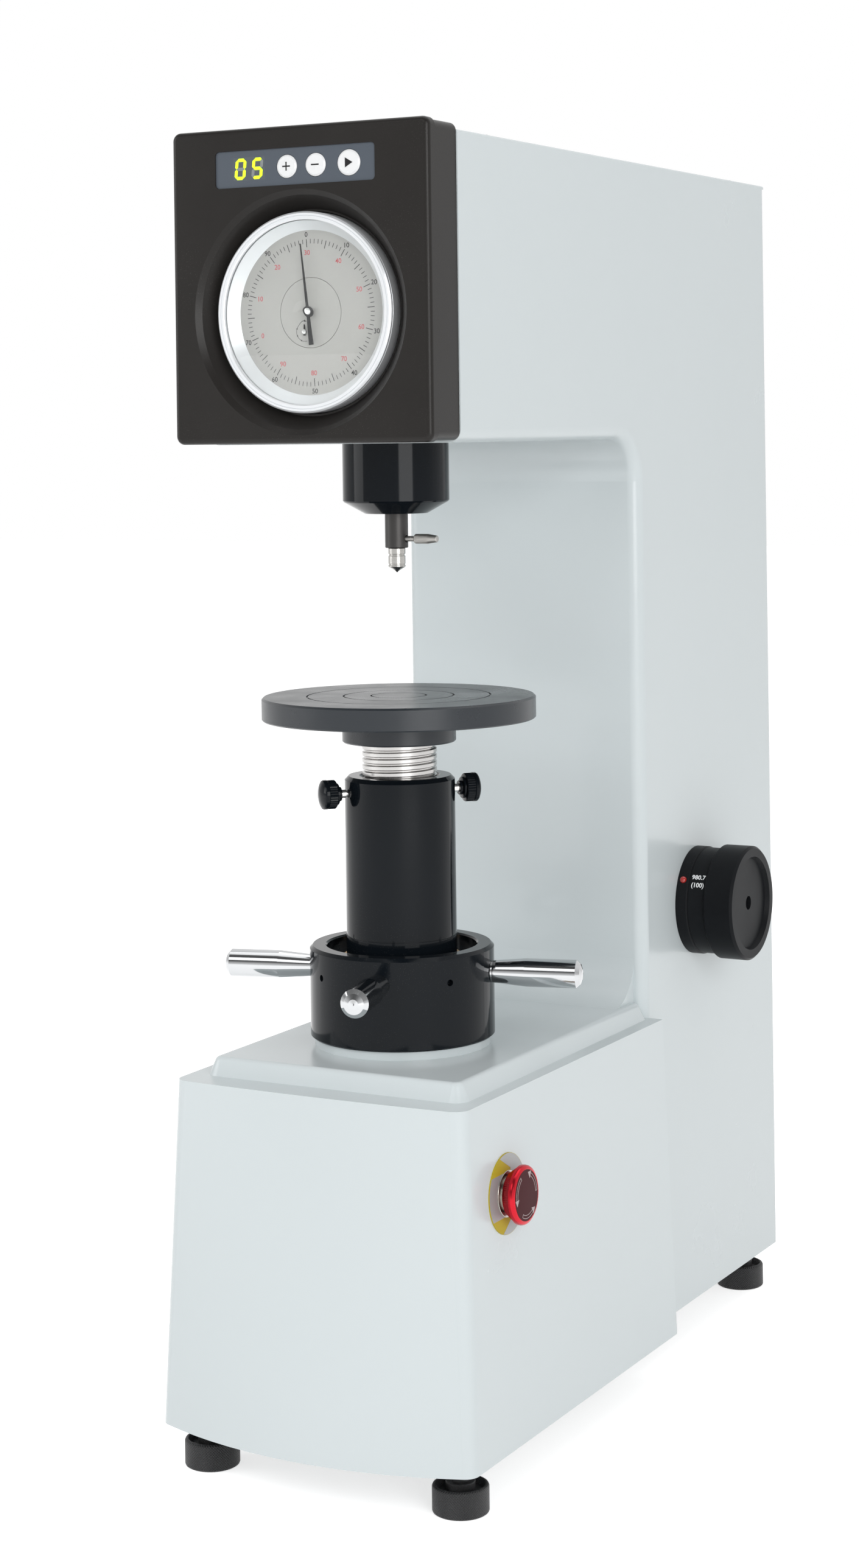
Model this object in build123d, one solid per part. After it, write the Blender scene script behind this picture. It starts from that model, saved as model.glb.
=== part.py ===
from build123d import *
import math
import os

# Motor-driven bench hardness tester, millimetres.
# Working frame: x = 0 is the plane of symmetry, y = 0 a plane just behind the front face,
# z = 0 the floor.  At the end everything is shifted so that the origin is the bottom
# centre of the whole tester's bounding box.

# ---------------------------------------------------------------- driving dimensions
RUN = 0.05            # radial clearance of a running fit
SEAT = 0.02           # radial clearance of a piece pressed or clamped in its seat
GAP = 0.3             # gap between pieces that slide or turn past each other

# cast body
BODY_WIDTH = 172.8
BODY_FRONT = 31.6
BODY_REAR = 506.0
BODY_BOTTOM = 28.5
HEAD_UNDERSIDE = 611.0
HEAD_HEIGHT = 178.4
BODY_TOP = HEAD_UNDERSIDE + HEAD_HEIGHT
COLUMN_FRONT = 278.9
THROAT_RADIUS = 28.0
THROAT_EDGE = 8.0
BODY_EDGE = 3.0
WALL = 10.0

# cast base that stands out in front of the column
BASE_TOP = 232.3
BASE_REAR = 281.8
BASE_TOP_WIDTH = 195.2
BASE_BOTTOM_WIDTH = 210.0
BASE_TOP_FRONT = 2.0
BASE_TOP_BOW = 3.0
BASE_BOTTOM_FRONT = -4.0
BASE_BOTTOM_BOW = 21.5
BASE_CORNER = 9.0
PLATFORM_HEIGHT = 10.7
PLATFORM_WIDTH = 176.0
PLATFORM_FRONT = 20.0
PLATFORM_TAPER = 24.0
PLATFORM_EDGE = 3.5

# working axis: indenter, elevating screw and handwheel share it
AXIS_Y = 109.1
SCREW_RADIUS = 23.0
KEYWAY_WIDTH = 8.0
KEYWAY_DEPTH = 4.0
GUIDE_RADIUS = 33.0
GUIDE_LENGTH = 93.0
GUIDE_BOTTOM = BASE_TOP + PLATFORM_HEIGHT - GUIDE_LENGTH
GUIDE_FLANGE = 42.0
BOSS_RADIUS = 54.0
BOSS_HEIGHT = 5.1
BOSS_TOP = BASE_TOP + PLATFORM_HEIGHT + BOSS_HEIGHT

# handwheel
HUB_RADIUS = 56.6
HUB_HEIGHT = 55.5
HUB_BOTTOM = BOSS_TOP + GAP
HUB_TOP = HUB_BOTTOM + HUB_HEIGHT
HUB_RECESS_RADIUS = 46.0
HUB_RECESS_DEPTH = 6.9
HUB_CHAMFER = 2.0
NUT_RADIUS = 36.0
SPOKE_COUNT = 4
SPOKE_ANGLE = 14.4
SPOKE_RISE = 39.6
SPOKE_HEIGHT = HUB_BOTTOM + SPOKE_RISE
SPOKE_REACH = 113.0
SPOKE_RADIUS = 8.5
SPOKE_NECK_RADIUS = 6.7
SPOKE_NECK_END = 78.0
SPOKE_DOME = 3.6
SPOKE_STUD_RADIUS = 5.0
SPOKE_STUD_LENGTH = 13.0
SET_SCREW_RADIUS = 2.0

# thrust bearing under the handwheel
RACE_INNER = 27.0
RACE_OUTER = 41.0
RACE_THICKNESS = 4.0

# sleeve and its two clamping screws
SLEEVE_RADIUS = 33.9
SLEEVE_BORE = 23.4
SLEEVE_LENGTH = 109.7
SLEEVE_TOP = HUB_TOP - HUB_RECESS_DEPTH + GAP + SLEEVE_LENGTH
SLEEVE_CHAMFER = 2.4
SLEEVE_GROOVE_HEIGHT = 5.0
THUMB_DROP = 10.0
THUMB_HEIGHT = SLEEVE_TOP - THUMB_DROP
THUMB_ANGLES = {"thumb_screw_right": 47.0, "thumb_screw_left": 227.0}
THUMB_STEM_RADIUS = 2.0
THUMB_COLLAR_RADIUS = 4.2
THUMB_KNOB_RADIUS = 9.0
THUMB_KNOB_START = 41.0
THUMB_KNOB_LENGTH = 9.0
THUMB_DOME = 2.6

# height of the screw, and the work table on it
SCREW_EXPOSED = 17.3
SCREW_LENGTH = 362.3
SCREW_TOP = SLEEVE_TOP + SCREW_EXPOSED
SCREW_BOTTOM = SCREW_TOP - SCREW_LENGTH
TABLE_RADIUS = 84.3
TABLE_RISE = 31.4
TABLE_TOP = SCREW_TOP + TABLE_RISE
TABLE_THICKNESS = 14.0
TABLE_CHAMFER = 1.2
TABLE_GROOVES = (0.201, 0.402, 0.669)
TABLE_BOSS_RADIUS = 35.0
TABLE_BOSS_HEIGHT = 6.4
TABLE_STEM_RADIUS = 12.5
TABLE_STEM_LENGTH = 30.0

# spindle group
HOUSING_RADIUS = 32.8
HOUSING_LENGTH = 43.3
HOUSING_BOTTOM = HEAD_UNDERSIDE - HOUSING_LENGTH
HOUSING_STEP = HOUSING_BOTTOM + 7.3
HOUSING_CONE_RADIUS = 19.5
HOUSING_NECK_RADIUS = 25.0
HOUSING_NECK_LENGTH = 41.0
HOUSING_TOP = HEAD_UNDERSIDE + HOUSING_NECK_LENGTH
BUSH_RADIUS = 12.0
BUSH_LENGTH = 24.0
SPINDLE_RADIUS = 7.1
SPINDLE_EXPOSED = 21.3
SPINDLE_LENGTH = 141.6
SPINDLE_BOTTOM = HOUSING_BOTTOM - SPINDLE_EXPOSED
SPINDLE_TOP = SPINDLE_BOTTOM + SPINDLE_LENGTH
INDENTER_RADIUS = 5.3
INDENTER_LENGTH = 15.2
INDENTER_TIP = SPINDLE_BOTTOM - INDENTER_LENGTH
INDENTER_CONE = 3.2
INDENTER_SHANK_RADIUS = 3.1
INDENTER_SHANK_LENGTH = 22.0
CLAMP_RISE = 5.6
CLAMP_HEIGHT = SPINDLE_BOTTOM + CLAMP_RISE
CLAMP_REACH = 28.5
CLAMP_THREAD = 2.2
CLAMP_KNOB = 3.0

# main lever and weights
LEVER_SHORT_ARM = 14.0
LEVER_LONG_ARM = 314.0
LEVER_WIDTH = 22.0
LEVER_DEPTH = 30.0
LEVER_TAIL_DEPTH = 18.0
PIVOT_HEIGHT = SPINDLE_TOP + LEVER_DEPTH / 2 + 3
PIVOT_RADIUS = 6.0
HANGER_ROD_RADIUS = 8.0
WEIGHT_RADIUS = 52.0
WEIGHT_THICKNESS = 28.0
WEIGHT_COUNT = 3
HANGER_LENGTH = 304.0
WEIGHT_BASE = PIVOT_HEIGHT - HANGER_LENGTH

# load selector knob on the right side
SELECTOR_Y = 366.2
SELECTOR_HEIGHT = 297.2
FLANGE_RADIUS = 36.1
FLANGE_THICKNESS = 8.3
NUMBER_RING_RADIUS = 35.4
NUMBER_RING_WIDTH = 12.2
KNOB_RADIUS = 38.1
KNOB_WIDTH = 20.2
KNOB_CHAMFER = 1.6
INDEX_DOT_RADIUS = 2.2
INDEX_ANGLE = 21.0
KNOB_DISH_RADIUS = 31.0
KNOB_DISH_DEPTH = 3.0
KNOB_HOLE_RADIUS = 4.6
SELECTOR_SHAFT_RADIUS = 8.0

# load drive in the foot of the column
MOTOR_RADIUS = 32.0
MOTOR_RISE = 67.5
MOTOR_HEIGHT = BODY_BOTTOM + MOTOR_RISE
CAM_RADIUS = 26.0
CAM_OFFSET = 9.0
LIFT_ROD_RADIUS = 7.0

# head cover with the dial's dished recess
COVER_OVERHANG = 0.3
COVER_FRONT = -4.1
COVER_WIDTH = BODY_WIDTH + 2 * COVER_OVERHANG
COVER_RIM = 7.3
COVER_BOTTOM = HEAD_UNDERSIDE + 0.5
COVER_TOP = BODY_TOP + COVER_RIM
COVER_DEPTH = BODY_FRONT - GAP - COVER_FRONT
COVER_FRONT_DEPTH = 8.1
COVER_CORNER = 5.0
COVER_EDGE = 3.2
COVER_STEP = 0.9
COVER_GROOVE = 0.8
COVER_WALL = 4.0
DIAL_RISE = 76.4
DIAL_HEIGHT = COVER_BOTTOM + DIAL_RISE
DISH_RADIUS = 71.5
DISH_INNER_RADIUS = 60.5
DISH_DEPTH = 15.0

# dial
BEZEL_RADIUS = 58.7
BEZEL_INNER_RADIUS = 54.0
BEZEL_SET_BACK = 4.4
BEZEL_FRONT = COVER_FRONT + BEZEL_SET_BACK
BEZEL_DEPTH = 12.0
BEZEL_LIP = 2.0
BEZEL_SEAT_RADIUS = 56.0
BEZEL_BORE_RADIUS = 53.8
BEZEL_BASE_RADIUS = 48.2
GLASS_RISE = 2.6
GLASS_THICKNESS = 2.0
FACE_DEPTH = 9.8
FACE_THICKNESS = 1.0
DIAL_CASE_RADIUS = 56.0
DIAL_CASE_DEPTH = 26.0
DIAL_BRACKET_THICKNESS = 4.0
ARBOR_RADIUS = 1.2
ARBOR_LENGTH = 12.0
POINTER_HEIGHT = 6.2
POINTER_THICKNESS = 0.8
POINTER_HUB_RADIUS = 3.2
POINTER_LENGTH = 40.5
POINTER_TAIL = 19.0
POINTER_ANGLE = 6.4
CENTRE_RADIUS = 20.4
SUB_DIAL_X = -4.0
SUB_DIAL_DROP = 11.0
SUB_POINTER_LENGTH = 4.2
COUNTER_WHEEL_RADIUS = 12.0
COUNTER_WHEEL_DEPTH = 34.0
COUNTER_WHEEL_THICKNESS = 1.6

# control panel
PANEL_X = -2.1
PANEL_WIDTH = 107.8
PANEL_DROP = 23.9
PANEL_HEIGHT = COVER_TOP - PANEL_DROP
PANEL_DEPTH = 21.6
PANEL_SET_BACK = 0.8
PANEL_THICKNESS = 1.6
PANEL_CORNER = 2.5
LED_X = -33.1
LED_WIDTH = 21.8
LED_DEPTH = 13.9
BUTTONS = {"plus_button": (-7.2, 6.7), "minus_button": (12.2, 6.7), "start_button": (34.4, 7.5)}
BUTTON_PROUD = 0.9
BUTTON_LENGTH = 8.0
BUTTON_TRAVEL = 0.8
BOARD_SET_BACK = 14.0
BOARD_THICKNESS = 1.6

# emergency stop on the right side of the base
ESTOP_Y = 51.0
ESTOP_DROP = 56.9
ESTOP_HEIGHT = BASE_TOP - ESTOP_DROP
ESTOP_PLATE_RADIUS = 23.2
ESTOP_PLATE_THICKNESS = 0.8
ESTOP_BARREL_RADIUS = 11.0
ESTOP_COLLAR_RADIUS = 13.4
ESTOP_COLLAR_END = 1.4
ESTOP_NOSE_RADIUS = 10.2
ESTOP_NOSE_END = 4.4
ESTOP_STEM_RADIUS = 5.0
ESTOP_SPIGOT_RADIUS = 3.0
ESTOP_HEAD_RADIUS = 17.1
ESTOP_BACK_RADIUS = 13.0
ESTOP_HEAD_START = 3.4
ESTOP_REACH = 13.3

# levelling feet
FOOT_PAD_RADIUS = 16.5
FOOT_PAD_HEIGHT = 16.0
FOOT_STUD_RADIUS = 5.0
FOOT_FRONT_X = BASE_BOTTOM_WIDTH / 2 - 20.8
FOOT_FRONT_Y = BASE_BOTTOM_FRONT + 22.6
FOOT_REAR_X = BODY_WIDTH / 2 - 21.4
FOOT_REAR_Y = BODY_REAR - 19

# rear and top covers, power inlet
REAR_COVER_WIDTH = BODY_WIDTH - 36.8
REAR_COVER_MARGIN = 21.4
REAR_COVER_BOTTOM = BODY_BOTTOM + 91.5
REAR_COVER_TOP = BODY_TOP - REAR_COVER_MARGIN
REAR_COVER_THICKNESS = 2.0
TOP_COVER_THICKNESS = 2.5
COVER_SCREW_RADIUS = 2.0
COVER_SCREW_HEAD = 4.0
INLET_RISE = 49.5
INLET_HEIGHT = BODY_BOTTOM + INLET_RISE
INLET_WIDTH = 48.0
INLET_DEPTH = 27.0
INLET_FLANGE = 4.0
SOCKET_WIDTH = 24.0
SOCKET_HEIGHT = 16.4
SOCKET_DEPTH = 17.0
PIN_LENGTH = 12.0
SOCKET_X = -9.0
ROCKER_WIDTH = 12.0
ROCKER_HEIGHT = 19.0
ROCKER_X = 15.5

# ---------------------------------------------------------------- helpers
parts = {}


def keep(name, shape):
    """Store one named piece of the tester."""
    parts[name] = shape
    return shape


def rod(radius, low, high, x=0.0, y=AXIS_Y):
    """Upright cylinder between two heights."""
    return Pos(x, y, low) * extrude(Circle(radius), high - low)


def tube(outer, inner, low, high, x=0.0, y=AXIS_Y):
    """Upright ring between two heights."""
    return Pos(x, y, low) * extrude(Circle(outer) - Circle(inner), high - low)


def rod_x(radius, left, right, y, z):
    """Cylinder along X between two x values."""
    return Plane(origin=(left, y, z), z_dir=(1, 0, 0)) * extrude(Circle(radius), right - left)


def rod_y(radius, front, back, x, z):
    """Cylinder along Y between two y values."""
    return Plane(origin=(x, front, z), x_dir=(1, 0, 0), z_dir=(0, 1, 0)) * extrude(
        Circle(radius), back - front
    )


def block(x0, x1, y0, y1, z0, z1):
    """Rectangular block between two corners."""
    return Pos((x0 + x1) / 2, (y0 + y1) / 2, (z0 + z1) / 2) * Box(x1 - x0, y1 - y0, z1 - z0)


def turned(points, x=0.0, y=AXIS_Y):
    """Solid of revolution about an upright axis, from (radius, height) points."""
    profile = Plane.XZ * make_face(Polyline(*points, close=True))
    return Pos(x, y, 0) * revolve(profile, Axis.Z)


def turned_on(plane, points):
    """Solid of revolution about a plane's normal, from (radius, height) points."""
    profile = Plane.XZ * make_face(Polyline(*points, close=True))
    return plane * revolve(profile, Axis.Z)


def base_section(width, front, bow, rear, corner, inset=0.0):
    """Base outline: straight sides and rear, bowed front, rounded front corners."""
    half = width / 2 - inset
    front_y = front + inset
    rear_y = rear - inset
    edges = [
        Line((half, front_y), (half, rear_y)),
        Line((half, rear_y), (-half, rear_y)),
        Line((-half, rear_y), (-half, front_y)),
        ThreePointArc((-half, front_y), (0, front_y - bow), (half, front_y)),
    ]
    outline = make_face(Curve() + edges)
    corners = [v for v in outline.vertices() if abs(v.Y - front_y) < 1e-6]
    return fillet(corners, max(corner - inset, 1.0))


# ---------------------------------------------------------------- cast body
half_body = BODY_WIDTH / 2
cover_top = BODY_TOP + TOP_COVER_THICKNESS
platform_top = BASE_TOP + PLATFORM_HEIGHT
head_floor = HEAD_UNDERSIDE + WALL
column_inner_front = COLUMN_FRONT + WALL
race_seat = BOSS_TOP - RACE_THICKNESS - 4.5
inner_half = half_body - WALL
key_outer = SCREW_RADIUS + 6
base_draft = math.atan2((BASE_BOTTOM_WIDTH - BASE_TOP_WIDTH) / 2, BASE_TOP - BODY_BOTTOM)

# planes that several pieces share
estop_plane = Plane(
    origin=(
        BASE_TOP_WIDTH / 2 + (BASE_TOP - ESTOP_HEIGHT) * math.tan(base_draft),
        ESTOP_Y,
        ESTOP_HEIGHT,
    ),
    x_dir=(0, 1, 0),
    z_dir=(math.cos(base_draft), 0, math.sin(base_draft)),
)
dial_axis = Plane(origin=(0, COVER_FRONT, DIAL_HEIGHT), x_dir=(1, 0, 0), z_dir=(0, 1, 0))
bezel_plane = Plane(origin=(0, BEZEL_FRONT, DIAL_HEIGHT), x_dir=(1, 0, 0), z_dir=(0, 1, 0))
panel_front = COVER_FRONT + PANEL_SET_BACK
board_front = COVER_FRONT + BOARD_SET_BACK
panel_face = Plane(origin=(PANEL_X, panel_front, PANEL_HEIGHT), x_dir=(1, 0, 0), z_dir=(0, -1, 0))
led_plane = Plane(origin=(LED_X, panel_front, PANEL_HEIGHT), x_dir=(1, 0, 0), z_dir=(0, -1, 0))


def body_shell():
    """Head and column: a C-shaped profile with rounded throat corners and edges."""
    profile = Plane.YZ * make_face(
        Polyline(
            (BODY_FRONT, HEAD_UNDERSIDE),
            (BODY_FRONT, BODY_TOP),
            (BODY_REAR, BODY_TOP),
            (BODY_REAR, BODY_BOTTOM),
            (COLUMN_FRONT, BODY_BOTTOM),
            (COLUMN_FRONT, HEAD_UNDERSIDE),
            close=True,
        )
    )
    solid = extrude(profile, half_body, both=True)
    throat = [
        e
        for e in solid.edges().filter_by(Axis.X)
        if abs(e.center().Y - COLUMN_FRONT) < 1e-3 and abs(e.center().Z - HEAD_UNDERSIDE) < 1e-3
    ]
    solid = fillet(throat, THROAT_RADIUS)
    inner_side = [
        e
        for e in solid.edges()
        if abs(abs(e.center().X) - half_body) < 1e-3
        and e.bounding_box().max.Z < HEAD_UNDERSIDE + 1e-3
        and e.bounding_box().max.Y < COLUMN_FRONT + 1e-3
    ]
    solid = fillet(inner_side, THROAT_EDGE)
    rear = [
        e
        for e in solid.edges().filter_by(Axis.Z)
        if abs(e.center().Y - BODY_REAR) < 1e-3
    ]
    return fillet(rear, BODY_EDGE)


def base_shell():
    """Base block, drafted and bowed, with its raised platform and round boss."""
    top = Pos(0, 0, BASE_TOP) * base_section(
        BASE_TOP_WIDTH, BASE_TOP_FRONT, BASE_TOP_BOW, BASE_REAR, BASE_CORNER
    )
    bottom = Pos(0, 0, BODY_BOTTOM) * base_section(
        BASE_BOTTOM_WIDTH, BASE_BOTTOM_FRONT, BASE_BOTTOM_BOW, BASE_REAR, BASE_CORNER
    )
    solid = loft([bottom, top], ruled=True)
    depth = BASE_REAR - PLATFORM_FRONT
    foot = Pos(0, PLATFORM_FRONT + depth / 2, BASE_TOP) * RectangleRounded(
        PLATFORM_WIDTH, depth, BASE_CORNER
    )
    platform = extrude(foot, PLATFORM_HEIGHT, taper=PLATFORM_TAPER)
    platform = fillet(platform.edges().group_by(Axis.Z)[-1], PLATFORM_EDGE)
    solid = solid + platform
    return solid + rod(BOSS_RADIUS, BASE_TOP, BOSS_TOP)


def throat_foot():
    """Concave corner where the column rises from the platform."""
    r = THROAT_RADIUS
    y, z = COLUMN_FRONT, platform_top
    profile = Plane.YZ * make_face(
        Curve()
        + [
            Line((y + 1, z - 1), (y - r, z - 1)),
            Line((y - r, z - 1), (y - r, z)),
            ThreePointArc(
                (y - r, z),
                (y - r + r * math.sin(math.pi / 4), z + r * (1 - math.cos(math.pi / 4))),
                (y, z + r),
            ),
            Line((y, z + r), (y + 1, z + r)),
            Line((y + 1, z + r), (y + 1, z - 1)),
        ]
    )
    half = half_body - THROAT_EDGE
    return extrude(profile, half, both=True)


def foot_places():
    """Foot name -> (x, y) of its axis."""
    return {
        "foot_front_left": (-FOOT_FRONT_X, FOOT_FRONT_Y),
        "foot_front_right": (FOOT_FRONT_X, FOOT_FRONT_Y),
        "foot_rear_left": (-FOOT_REAR_X, FOOT_REAR_Y),
        "foot_rear_right": (FOOT_REAR_X, FOOT_REAR_Y),
    }


def main_casting():
    body = body_shell() + base_shell() + throat_foot()
    # hollow column, head and base
    column = block(
        -inner_half, inner_half, column_inner_front, BODY_REAR - WALL, BODY_BOTTOM - 1, head_floor
    )
    head = block(
        -inner_half, inner_half, BODY_FRONT - 1, BODY_REAR - WALL, head_floor - 1, BODY_TOP + 1
    )
    rear_half = REAR_COVER_WIDTH / 2 - WALL
    rear_window = block(
        -rear_half,
        rear_half,
        BODY_REAR - WALL - 1,
        BODY_REAR + 1,
        REAR_COVER_BOTTOM + WALL,
        REAR_COVER_TOP - WALL,
    )
    bottom = Pos(0, 0, BODY_BOTTOM) * base_section(
        BASE_BOTTOM_WIDTH, BASE_BOTTOM_FRONT, BASE_BOTTOM_BOW, BASE_REAR, BASE_CORNER, WALL
    )
    ceiling = BASE_TOP - WALL
    top = Pos(0, 0, ceiling) * base_section(
        BASE_TOP_WIDTH, BASE_TOP_FRONT, BASE_TOP_BOW, BASE_REAR, BASE_CORNER, WALL
    )
    base_room = loft([bottom, top], ruled=True)
    passage = block(
        -40, 40, BASE_REAR - WALL - 1, column_inner_front + 1, BODY_BOTTOM - 1, ceiling - 3 * WALL
    )
    body = body - column - head - rear_window - base_room - passage
    # boss around the screw guide, foot bosses and pads
    body = body + rod(GUIDE_FLANGE + 6, GUIDE_BOTTOM + 30, BASE_TOP)
    for x, y in foot_places().values():
        body = body + rod(13, BODY_BOTTOM, BODY_BOTTOM + 26, x, y)
        body = body - rod(FOOT_STUD_RADIUS + SEAT, BODY_BOTTOM - 1, BODY_BOTTOM + 27, x, y)
    body = body - rod(GUIDE_RADIUS + SEAT, GUIDE_BOTTOM, BOSS_TOP + 1)
    body = body - rod(GUIDE_FLANGE + SEAT, race_seat, BOSS_TOP + 1)
    body = body - rod(HOUSING_NECK_RADIUS + SEAT, HEAD_UNDERSIDE - 1, head_floor + 1)
    # emergency stop, selector and power inlet openings
    body = body - estop_plane * Pos(0, 0, -30) * extrude(Circle(ESTOP_BARREL_RADIUS + SEAT), 60)
    body = body - rod_x(
        SELECTOR_SHAFT_RADIUS + 3, inner_half - 1, half_body + 1, SELECTOR_Y, SELECTOR_HEIGHT
    )
    return body - block(
        -INLET_WIDTH / 2 - SEAT,
        INLET_WIDTH / 2 + SEAT,
        BODY_REAR - WALL - 1,
        BODY_REAR + 1,
        INLET_HEIGHT - INLET_DEPTH / 2 - SEAT,
        INLET_HEIGHT + INLET_DEPTH / 2 + SEAT,
    )


keep("main_casting", main_casting())


# ---------------------------------------------------------------- covers
def top_cover():
    plate = block(-half_body, half_body, BODY_FRONT, BODY_REAR, BODY_TOP, cover_top)
    rim = [e for e in plate.edges() if abs(e.center().Z - cover_top) < 1e-3]
    plate = fillet(rim, TOP_COVER_THICKNESS * 0.6)
    inner = half_body - WALL - GAP
    lip = block(
        -inner, inner, BODY_FRONT + GAP, BODY_REAR - WALL - GAP, BODY_TOP - 4, BODY_TOP
    ) - block(
        -inner + 3, inner - 3, BODY_FRONT + 3, BODY_REAR - WALL - 3, BODY_TOP - 5, BODY_TOP + 0.5
    )
    return plate + lip


def rear_cover():
    return Plane(
        origin=(0, BODY_REAR, (REAR_COVER_BOTTOM + REAR_COVER_TOP) / 2),
        x_dir=(-1, 0, 0),
        z_dir=(0, 1, 0),
    ) * extrude(
        RectangleRounded(REAR_COVER_WIDTH, REAR_COVER_TOP - REAR_COVER_BOTTOM, 6),
        REAR_COVER_THICKNESS,
    )


def rear_screw_places():
    x = REAR_COVER_WIDTH / 2 - WALL / 2
    rows = 4
    low, high = REAR_COVER_BOTTOM + WALL / 2, REAR_COVER_TOP - WALL / 2
    return [(s * x, low + (high - low) * i / (rows - 1)) for s in (-1, 1) for i in range(rows)]


def cover_screws():
    """Button-head screws of the rear cover and countersunk screws of the top cover."""
    screws = []
    face = BODY_REAR + REAR_COVER_THICKNESS
    for x, z in rear_screw_places():
        axis = Plane(origin=(x, face, z), x_dir=(1, 0, 0), z_dir=(0, 1, 0))
        screws.append(
            turned_on(
                axis,
                [
                    (0, -7),
                    (COVER_SCREW_RADIUS, -7),
                    (COVER_SCREW_RADIUS, 0),
                    (COVER_SCREW_HEAD, 0),
                    (COVER_SCREW_HEAD * 0.8, 1.6),
                    (0, 2.2),
                ],
            )
        )
    x = half_body - WALL / 2
    for side in (-1, 1):
        for y in (BODY_FRONT + 40, BODY_REAR - 60):
            screws.append(
                turned(
                    [
                        (0, cover_top - 9),
                        (COVER_SCREW_RADIUS, cover_top - 9),
                        (COVER_SCREW_RADIUS, cover_top - 1.9),
                        (COVER_SCREW_HEAD, cover_top),
                        (0, cover_top),
                    ],
                    side * x,
                    y,
                )
            )
    return screws


def drill_for_screws(shape):
    """Cut the cover screws' holes out of a cover or the casting."""
    face = BODY_REAR + REAR_COVER_THICKNESS
    for x, z in rear_screw_places():
        axis = Plane(origin=(x, face, z), x_dir=(1, 0, 0), z_dir=(0, 1, 0))
        shape = shape - axis * Pos(0, 0, -8) * extrude(Circle(COVER_SCREW_RADIUS + SEAT), 9)
    x = half_body - WALL / 2
    for side in (-1, 1):
        for y in (BODY_FRONT + 40, BODY_REAR - 60):
            cone = turned(
                [
                    (0, cover_top - 10),
                    (COVER_SCREW_RADIUS + SEAT, cover_top - 10),
                    (COVER_SCREW_RADIUS + SEAT, cover_top - 1.9),
                    (COVER_SCREW_HEAD + SEAT, cover_top),
                    (COVER_SCREW_HEAD + SEAT, cover_top + 1),
                    (0, cover_top + 1),
                ],
                side * x,
                y,
            )
            shape = shape - cone
    return shape


keep("top_cover", drill_for_screws(top_cover()))
keep("rear_cover", drill_for_screws(rear_cover()))
keep("cover_screws", Compound(children=cover_screws()))
parts["main_casting"] = drill_for_screws(parts["main_casting"])


def head_cover():
    """Black front cover: rounded shell with a dished recess for the dial."""
    height = COVER_TOP - COVER_BOTTOM
    centre = (COVER_TOP + COVER_BOTTOM) / 2
    front = Plane(origin=(0, COVER_FRONT, centre), x_dir=(1, 0, 0), z_dir=(0, -1, 0))
    plate = front * Pos(0, 0, -COVER_FRONT_DEPTH) * extrude(
        RectangleRounded(COVER_WIDTH, height, COVER_CORNER), COVER_FRONT_DEPTH
    )
    plate = fillet(plate.edges().group_by(Axis.Y)[0], COVER_EDGE)
    skirt = front * Pos(0, 0, -COVER_DEPTH) * extrude(
        RectangleRounded(COVER_WIDTH - 2 * COVER_STEP, height - 2 * COVER_STEP, COVER_CORNER),
        COVER_DEPTH - COVER_FRONT_DEPTH - COVER_GROOVE,
    )
    neck = front * Pos(0, 0, -COVER_DEPTH) * extrude(
        RectangleRounded(
            COVER_WIDTH - 4 * COVER_STEP, height - 4 * COVER_STEP, COVER_CORNER - COVER_STEP
        ),
        COVER_DEPTH - 1,
    )
    hollow = front * Pos(0, 0, -COVER_DEPTH - 1) * extrude(
        RectangleRounded(
            COVER_WIDTH - 2 * COVER_WALL - 4 * COVER_STEP,
            height - 2 * COVER_WALL - 4 * COVER_STEP,
            COVER_CORNER - COVER_STEP,
        ),
        COVER_DEPTH + 1 - COVER_WALL,
    )
    shell = plate + skirt + neck - hollow
    wall = 3.0
    dish_wall = dial_axis * revolve(
        Plane.XZ
        * make_face(
            Polyline(
                (0, 0.5),
                (DISH_RADIUS + wall, 0.5),
                (DISH_RADIUS + wall, COVER_WALL),
                (DISH_INNER_RADIUS + wall, DISH_DEPTH + wall),
                (0, DISH_DEPTH + wall),
                close=True,
            )
        ),
        Axis.Z,
    )
    room = front * Pos(0, 0, -COVER_DEPTH) * extrude(
        RectangleRounded(COVER_WIDTH - 6 * COVER_STEP, height - 6 * COVER_STEP, 2), COVER_DEPTH
    )
    dish = dial_axis * revolve(
        Plane.XZ
        * make_face(
            Polyline(
                (0, -1),
                (DISH_RADIUS, -1),
                (DISH_RADIUS, 0),
                (DISH_RADIUS - 3.2, 3.0),
                (DISH_INNER_RADIUS, DISH_DEPTH),
                (BEZEL_RADIUS + 0.6, DISH_DEPTH),
                (BEZEL_RADIUS + 0.6, COVER_DEPTH),
                (0, COVER_DEPTH),
                close=True,
            )
        ),
        Axis.Z,
    )
    shell = shell + (dish_wall & room) - dish
    pocket = panel_face * Pos(0, 0, -PANEL_THICKNESS - SEAT) * extrude(
        RectangleRounded(PANEL_WIDTH + 2 * SEAT, PANEL_DEPTH + 2 * SEAT, PANEL_CORNER), 5
    )
    shell = shell - pocket
    for x, radius in BUTTONS.values():
        shell = shell - rod_y(radius + GAP, COVER_FRONT - 1, board_front, x, PANEL_HEIGHT)
    window = led_plane * Pos(0, 0, -COVER_WALL - 8) * extrude(
        Rectangle(LED_WIDTH + 2 * SEAT, LED_DEPTH + 2 * SEAT), COVER_WALL + 9
    )
    return shell - window


def control_panel():
    panel = panel_face * Pos(0, 0, -PANEL_THICKNESS) * extrude(
        RectangleRounded(PANEL_WIDTH, PANEL_DEPTH, PANEL_CORNER), PANEL_THICKNESS
    )
    for x, radius in BUTTONS.values():
        panel = panel - rod_y(radius + GAP, COVER_FRONT - 1, board_front, x, PANEL_HEIGHT)
    window = led_plane * Pos(0, 0, -COVER_WALL) * extrude(
        Rectangle(LED_WIDTH + 2 * SEAT, LED_DEPTH + 2 * SEAT), COVER_WALL + 1
    )
    return panel - window


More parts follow.
